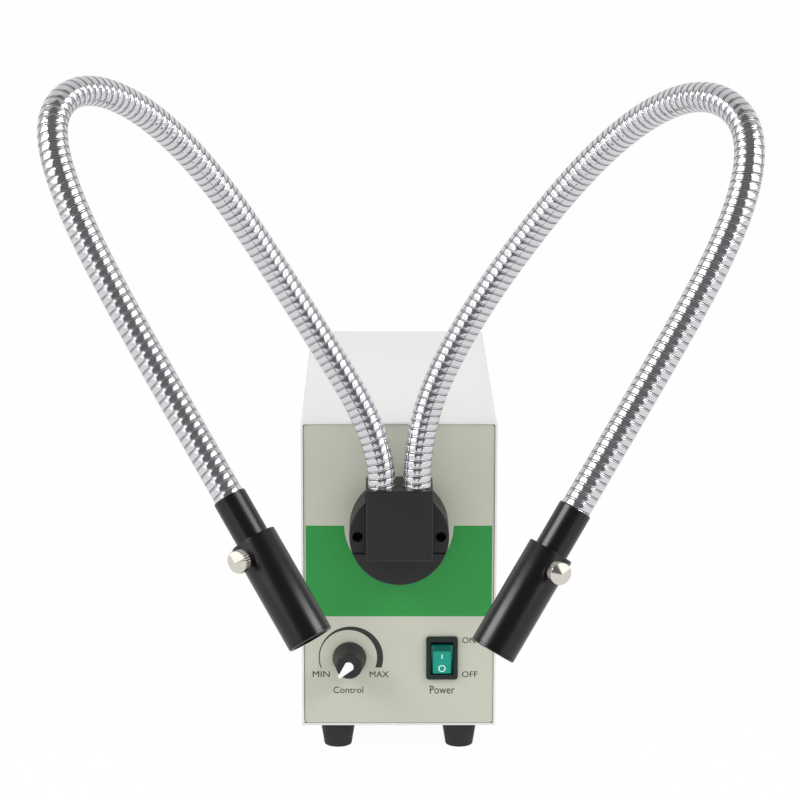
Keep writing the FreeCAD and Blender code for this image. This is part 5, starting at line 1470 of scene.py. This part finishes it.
@dataclass
class Studio:
    """The floor, the lamps, the surroundings and the camera.

    The camera's place, its sensor and the floor's reach are in millimetres, other lengths in metres and angles
    in degrees. Each band has a share of the turn about the object and a brightness. The climb is from the low
    bands to the high ones, as shares of the way straight up.
    """

    camera_place: tuple[float, float, float] = (-8.873, -1460.59, 479.44)
    pitch: float = 12.122
    yaw: float = 0.369
    roll: float = 0.089
    focal_pixels: float = 3154.10
    frame_pixels: float = 800.0
    sensor: float = 36.0
    low_bands: Sequence[Point] = ((0.0, 0.8), (0.165, 0.8), (0.175, 0.38), (0.215, 0.38), (0.23, 1.3),
                                  (0.385, 1.3), (0.415, 0.14), (0.585, 0.14), (0.615, 1.3), (0.77, 1.3),
                                  (0.785, 0.38), (0.825, 0.38), (0.835, 0.8), (1.0, 0.8))
    high_bands: Sequence[Point] = ((0.0, 0.7), (0.2, 0.6), (0.3, 0.45), (0.38, 0.14), (0.62, 0.14),
                                   (0.7, 0.45), (0.8, 0.6), (1.0, 0.7))
    floor_bands: Sequence[Point] = ((0.0, 0.62), (0.385, 0.62), (0.41, 0.14), (0.455, 0.14), (0.47, 0.4),
                                    (0.53, 0.4), (0.545, 0.14), (0.59, 0.14), (0.615, 0.62), (1.0, 0.62))
    climb_start: float = 0.6
    climb_end: float = 0.68
    floor_glow_share: float = 0.96
    near_floor: float = 1.15
    far_floor: float = 1.45
    edge_start: float = 1.6
    edge_end: float = 2.6
    near_level: float = 0.8
    view_start: float = 0.05
    view_end: float = 50.0
    floor_reach: float = 6000.0
    floor_grey: float = 0.93
    floor_roughness: float = 0.9
    soft_light: float = 0.74
    lamp_side: float = 1.22
    lamp_front: float = 0.68
    lamp_height: float = 1.1
    lamp_aim: float = 0.15
    lamp_wide: float = 0.95
    lamp_tall: float = 0.46
    lamp_power: float = 10.2

    def camera(self) -> None:
        """Set the camera where the photograph was taken from."""
        lens = bpy.data.cameras.new("photo_camera")
        lens.sensor_width = self.sensor
        lens.sensor_fit = "HORIZONTAL"
        lens.lens = self.focal_pixels / self.frame_pixels * self.sensor
        lens.clip_start = self.view_start
        lens.clip_end = self.view_end
        pitch, yaw, roll = (math.radians(angle) for angle in (self.pitch, self.yaw, self.roll))
        forward = Vector((math.sin(yaw) * math.cos(pitch), math.cos(yaw) * math.cos(pitch), -math.sin(pitch)))
        level = Vector((math.cos(yaw), -math.sin(yaw), 0))
        upright = level.cross(forward)
        right = level * math.cos(roll) + upright * math.sin(roll)
        up = upright * math.cos(roll) - level * math.sin(roll)
        made = bpy.data.objects.new("photo_camera", lens)
        bpy.context.scene.collection.objects.link(made)
        made.matrix_world = in_metres(placement((right, up, -forward), self.camera_place))
        bpy.context.scene.camera = made

    def floor(self) -> None:
        """Lay the pale floor."""
        form = Form()
        reach = self.floor_reach
        corners = [(-reach, -reach, 0), (reach, -reach, 0), (reach, reach, 0), (-reach, reach, 0)]
        form.add(corners, [range(len(corners))])
        made = bpy.data.materials.new("pale_floor")
        made.use_nodes = True
        tree = made.node_tree
        shader = tree.nodes["Principled BSDF"]
        shader.inputs["Base Color"].default_value = grey(self.floor_grey)
        shader.inputs["Roughness"].default_value = self.floor_roughness
        shader.inputs["Specular IOR Level"].default_value = 0.0
        glow = tree.nodes.new("ShaderNodeEmission")
        mix = tree.nodes.new("ShaderNodeMixShader")
        rays = tree.nodes.new("ShaderNodeLightPath")
        self._mirrored_floor(tree, rays, glow)
        share = sum_node(tree, "MULTIPLY")
        share.inputs[1].default_value = self.floor_glow_share
        seen = sum_node(tree, "MAXIMUM")
        tree.links.new(rays.outputs["Is Camera Ray"], seen.inputs[0])
        tree.links.new(rays.outputs["Is Glossy Ray"], seen.inputs[1])
        tree.links.new(seen.outputs["Value"], share.inputs[0])
        tree.links.new(share.outputs["Value"], mix.inputs["Fac"])
        tree.links.new(shader.outputs["BSDF"], mix.inputs[1])
        tree.links.new(glow.outputs["Emission"], mix.inputs[2])
        tree.links.new(mix.outputs["Shader"], tree.nodes["Material Output"].inputs["Surface"])
        plane = form.make("floor", [])
        plane.data.materials.append(made)

    def _mirrored_floor(self, tree: Nodes, rays: bpy.types.ShaderNode, glow: bpy.types.ShaderNode) -> None:
        """Give the floor the room's bands far out and an even light near the object, for reflections alone.

        Args:
            tree: the floor's nodes.
            rays: its light path node.
            glow: its emission node.
        """
        place = tree.nodes.new("ShaderNodeTexCoord")
        length = tree.nodes.new("ShaderNodeVectorMath")
        length.operation = "LENGTH"
        tree.links.new(place.outputs["Object"], length.inputs[0])
        middle = self._around(tree, place.outputs["Object"], self.floor_bands)
        edge = self._around(tree, place.outputs["Object"], self.low_bands)
        mirrored = colour_mix(tree)
        mirrored.inputs["A"].default_value = grey(self.near_level)
        outer = colour_mix(tree)
        for mix, start, end in ((mirrored, self.near_floor, self.far_floor),
                                (outer, self.edge_start, self.edge_end)):
            tree.links.new(climb(tree, length.outputs["Value"], start, end), mix.inputs["Factor"])
        tree.links.new(middle, outer.inputs["A"])
        tree.links.new(edge, outer.inputs["B"])
        tree.links.new(outer.outputs["Result"], mirrored.inputs["B"])
        choice = colour_mix(tree)
        choice.inputs["A"].default_value = grey(1.0)
        tree.links.new(rays.outputs["Is Glossy Ray"], choice.inputs["Factor"])
        tree.links.new(mirrored.outputs["Result"], choice.inputs["B"])
        tree.links.new(choice.outputs["Result"], glow.inputs["Color"])

    def surroundings(self) -> None:
        """Light the room evenly, with a white backdrop and a dim front for reflections."""
        world = bpy.data.worlds.new("studio")
        bpy.context.scene.world = world
        world.use_nodes = True
        tree = world.node_tree
        tree.nodes.clear()
        out = tree.nodes.new("ShaderNodeOutputWorld")
        rays = tree.nodes.new("ShaderNodeLightPath")
        soft = tree.nodes.new("ShaderNodeBackground")
        soft.inputs["Color"].default_value = grey(1.0)
        soft.inputs["Strength"].default_value = self.soft_light
        backdrop = tree.nodes.new("ShaderNodeBackground")
        backdrop.inputs["Color"].default_value = grey(1.0)
        backdrop.inputs["Strength"].default_value = 1.0
        mirror = tree.nodes.new("ShaderNodeBackground")
        mirror.inputs["Strength"].default_value = 1.0
        self._room(tree, mirror)
        first = tree.nodes.new("ShaderNodeMixShader")
        second = tree.nodes.new("ShaderNodeMixShader")
        seen = sum_node(tree, "MAXIMUM")
        tree.links.new(rays.outputs["Is Camera Ray"], seen.inputs[0])
        tree.links.new(rays.outputs["Is Transmission Ray"], seen.inputs[1])
        tree.links.new(rays.outputs["Is Glossy Ray"], first.inputs["Fac"])
        tree.links.new(soft.outputs["Background"], first.inputs[1])
        tree.links.new(mirror.outputs["Background"], first.inputs[2])
        tree.links.new(seen.outputs["Value"], second.inputs["Fac"])
        tree.links.new(first.outputs["Shader"], second.inputs[1])
        tree.links.new(backdrop.outputs["Background"], second.inputs[2])
        tree.links.new(second.outputs["Shader"], out.inputs["Surface"])

    def _room(self, tree: Nodes, mirror: bpy.types.ShaderNode) -> None:
        """Colour what metal mirrors: a dark front with two bright sides low down, and a dimmer room above.

        Args:
            tree: the world's nodes.
            mirror: the background node that metal sees.
        """
        place = tree.nodes.new("ShaderNodeTexCoord")
        split = tree.nodes.new("ShaderNodeSeparateXYZ")
        tree.links.new(place.outputs["Generated"], split.inputs["Vector"])
        low = self._around(tree, place.outputs["Generated"], self.low_bands)
        high = self._around(tree, place.outputs["Generated"], self.high_bands)
        mix = colour_mix(tree)
        share = climb(tree, split.outputs["Z"], self.climb_start, self.climb_end)
        tree.links.new(share, mix.inputs["Factor"])
        tree.links.new(low, mix.inputs["A"])
        tree.links.new(high, mix.inputs["B"])
        tree.links.new(mix.outputs["Result"], mirror.inputs["Color"])

    def _around(self, tree: Nodes, way: bpy.types.NodeSocket, stops: Sequence[Point]) -> bpy.types.NodeSocket:
        """Add grey bands round the room.

        Args:
            tree: the nodes of the world or the floor.
            way: the direction or place to colour.
            stops: (share of the turn about the object, brightness) pairs, with one half towards the camera.

        Returns:
            The bands' colour socket.
        """
        split = tree.nodes.new("ShaderNodeSeparateXYZ")
        tree.links.new(way, split.inputs["Vector"])
        turn = sum_node(tree, "ARCTAN2")
        minus = sum_node(tree, "MULTIPLY")
        minus.inputs[1].default_value = -1.0
        tree.links.new(split.outputs["Y"], minus.inputs[0])
        tree.links.new(split.outputs["X"], turn.inputs[0])
        tree.links.new(minus.outputs["Value"], turn.inputs[1])
        ramp = tree.nodes.new("ShaderNodeValToRGB")
        tree.links.new(climb(tree, turn.outputs["Value"], -math.pi, math.pi), ramp.inputs["Fac"])
        while len(ramp.color_ramp.elements) > 1:
            ramp.color_ramp.elements.remove(ramp.color_ramp.elements[-1])
        for index, (place, level) in enumerate(stops):
            stop = ramp.color_ramp.elements[0] if index == 0 else ramp.color_ramp.elements.new(place)
            stop.position = place
            stop.color = grey(level)
        return ramp.outputs["Color"]

    def lamp(self, name: str, side: int) -> None:
        """Add a soft rectangular lamp in front of the object, aimed at its middle.

        Args:
            name: the lamp's name.
            side: -1 for the left and 1 for the right.
        """
        light = bpy.data.lights.new(name, "AREA")
        light.shape = "RECTANGLE"
        light.size = self.lamp_wide
        light.size_y = self.lamp_tall
        light.energy = self.lamp_power
        place = Vector((side * self.lamp_side, -self.lamp_front, self.lamp_height))
        aim = Vector((0, 0, self.lamp_aim)) - place
        made = bpy.data.objects.new(name, light)
        bpy.context.scene.collection.objects.link(made)
        made.location = place
        made.rotation_euler = aim.to_track_quat("-Z", "Y").to_euler()

    def build(self) -> None:
        """Set up the camera, the room and the lamps."""
        self.camera()
        self.floor()
        self.surroundings()
        self.lamp("left_panel", -1)
        self.lamp("right_panel", 1)
        bpy.context.scene.view_settings.view_transform = "Standard"


def main() -> None:
    """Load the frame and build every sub-assembly in order."""
    logging.basicConfig(level=logging.INFO, format="%(message)s")
    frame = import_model()
    Studio().build()
    Case().build(frame)
    Markings().build()
    LightPort().build(frame)
    Electrics().build(frame)
    Dimmer().build()
    PowerSwitch().build(frame)
    LightGuide().build(frame)


if __name__ == "__main__":
    main()
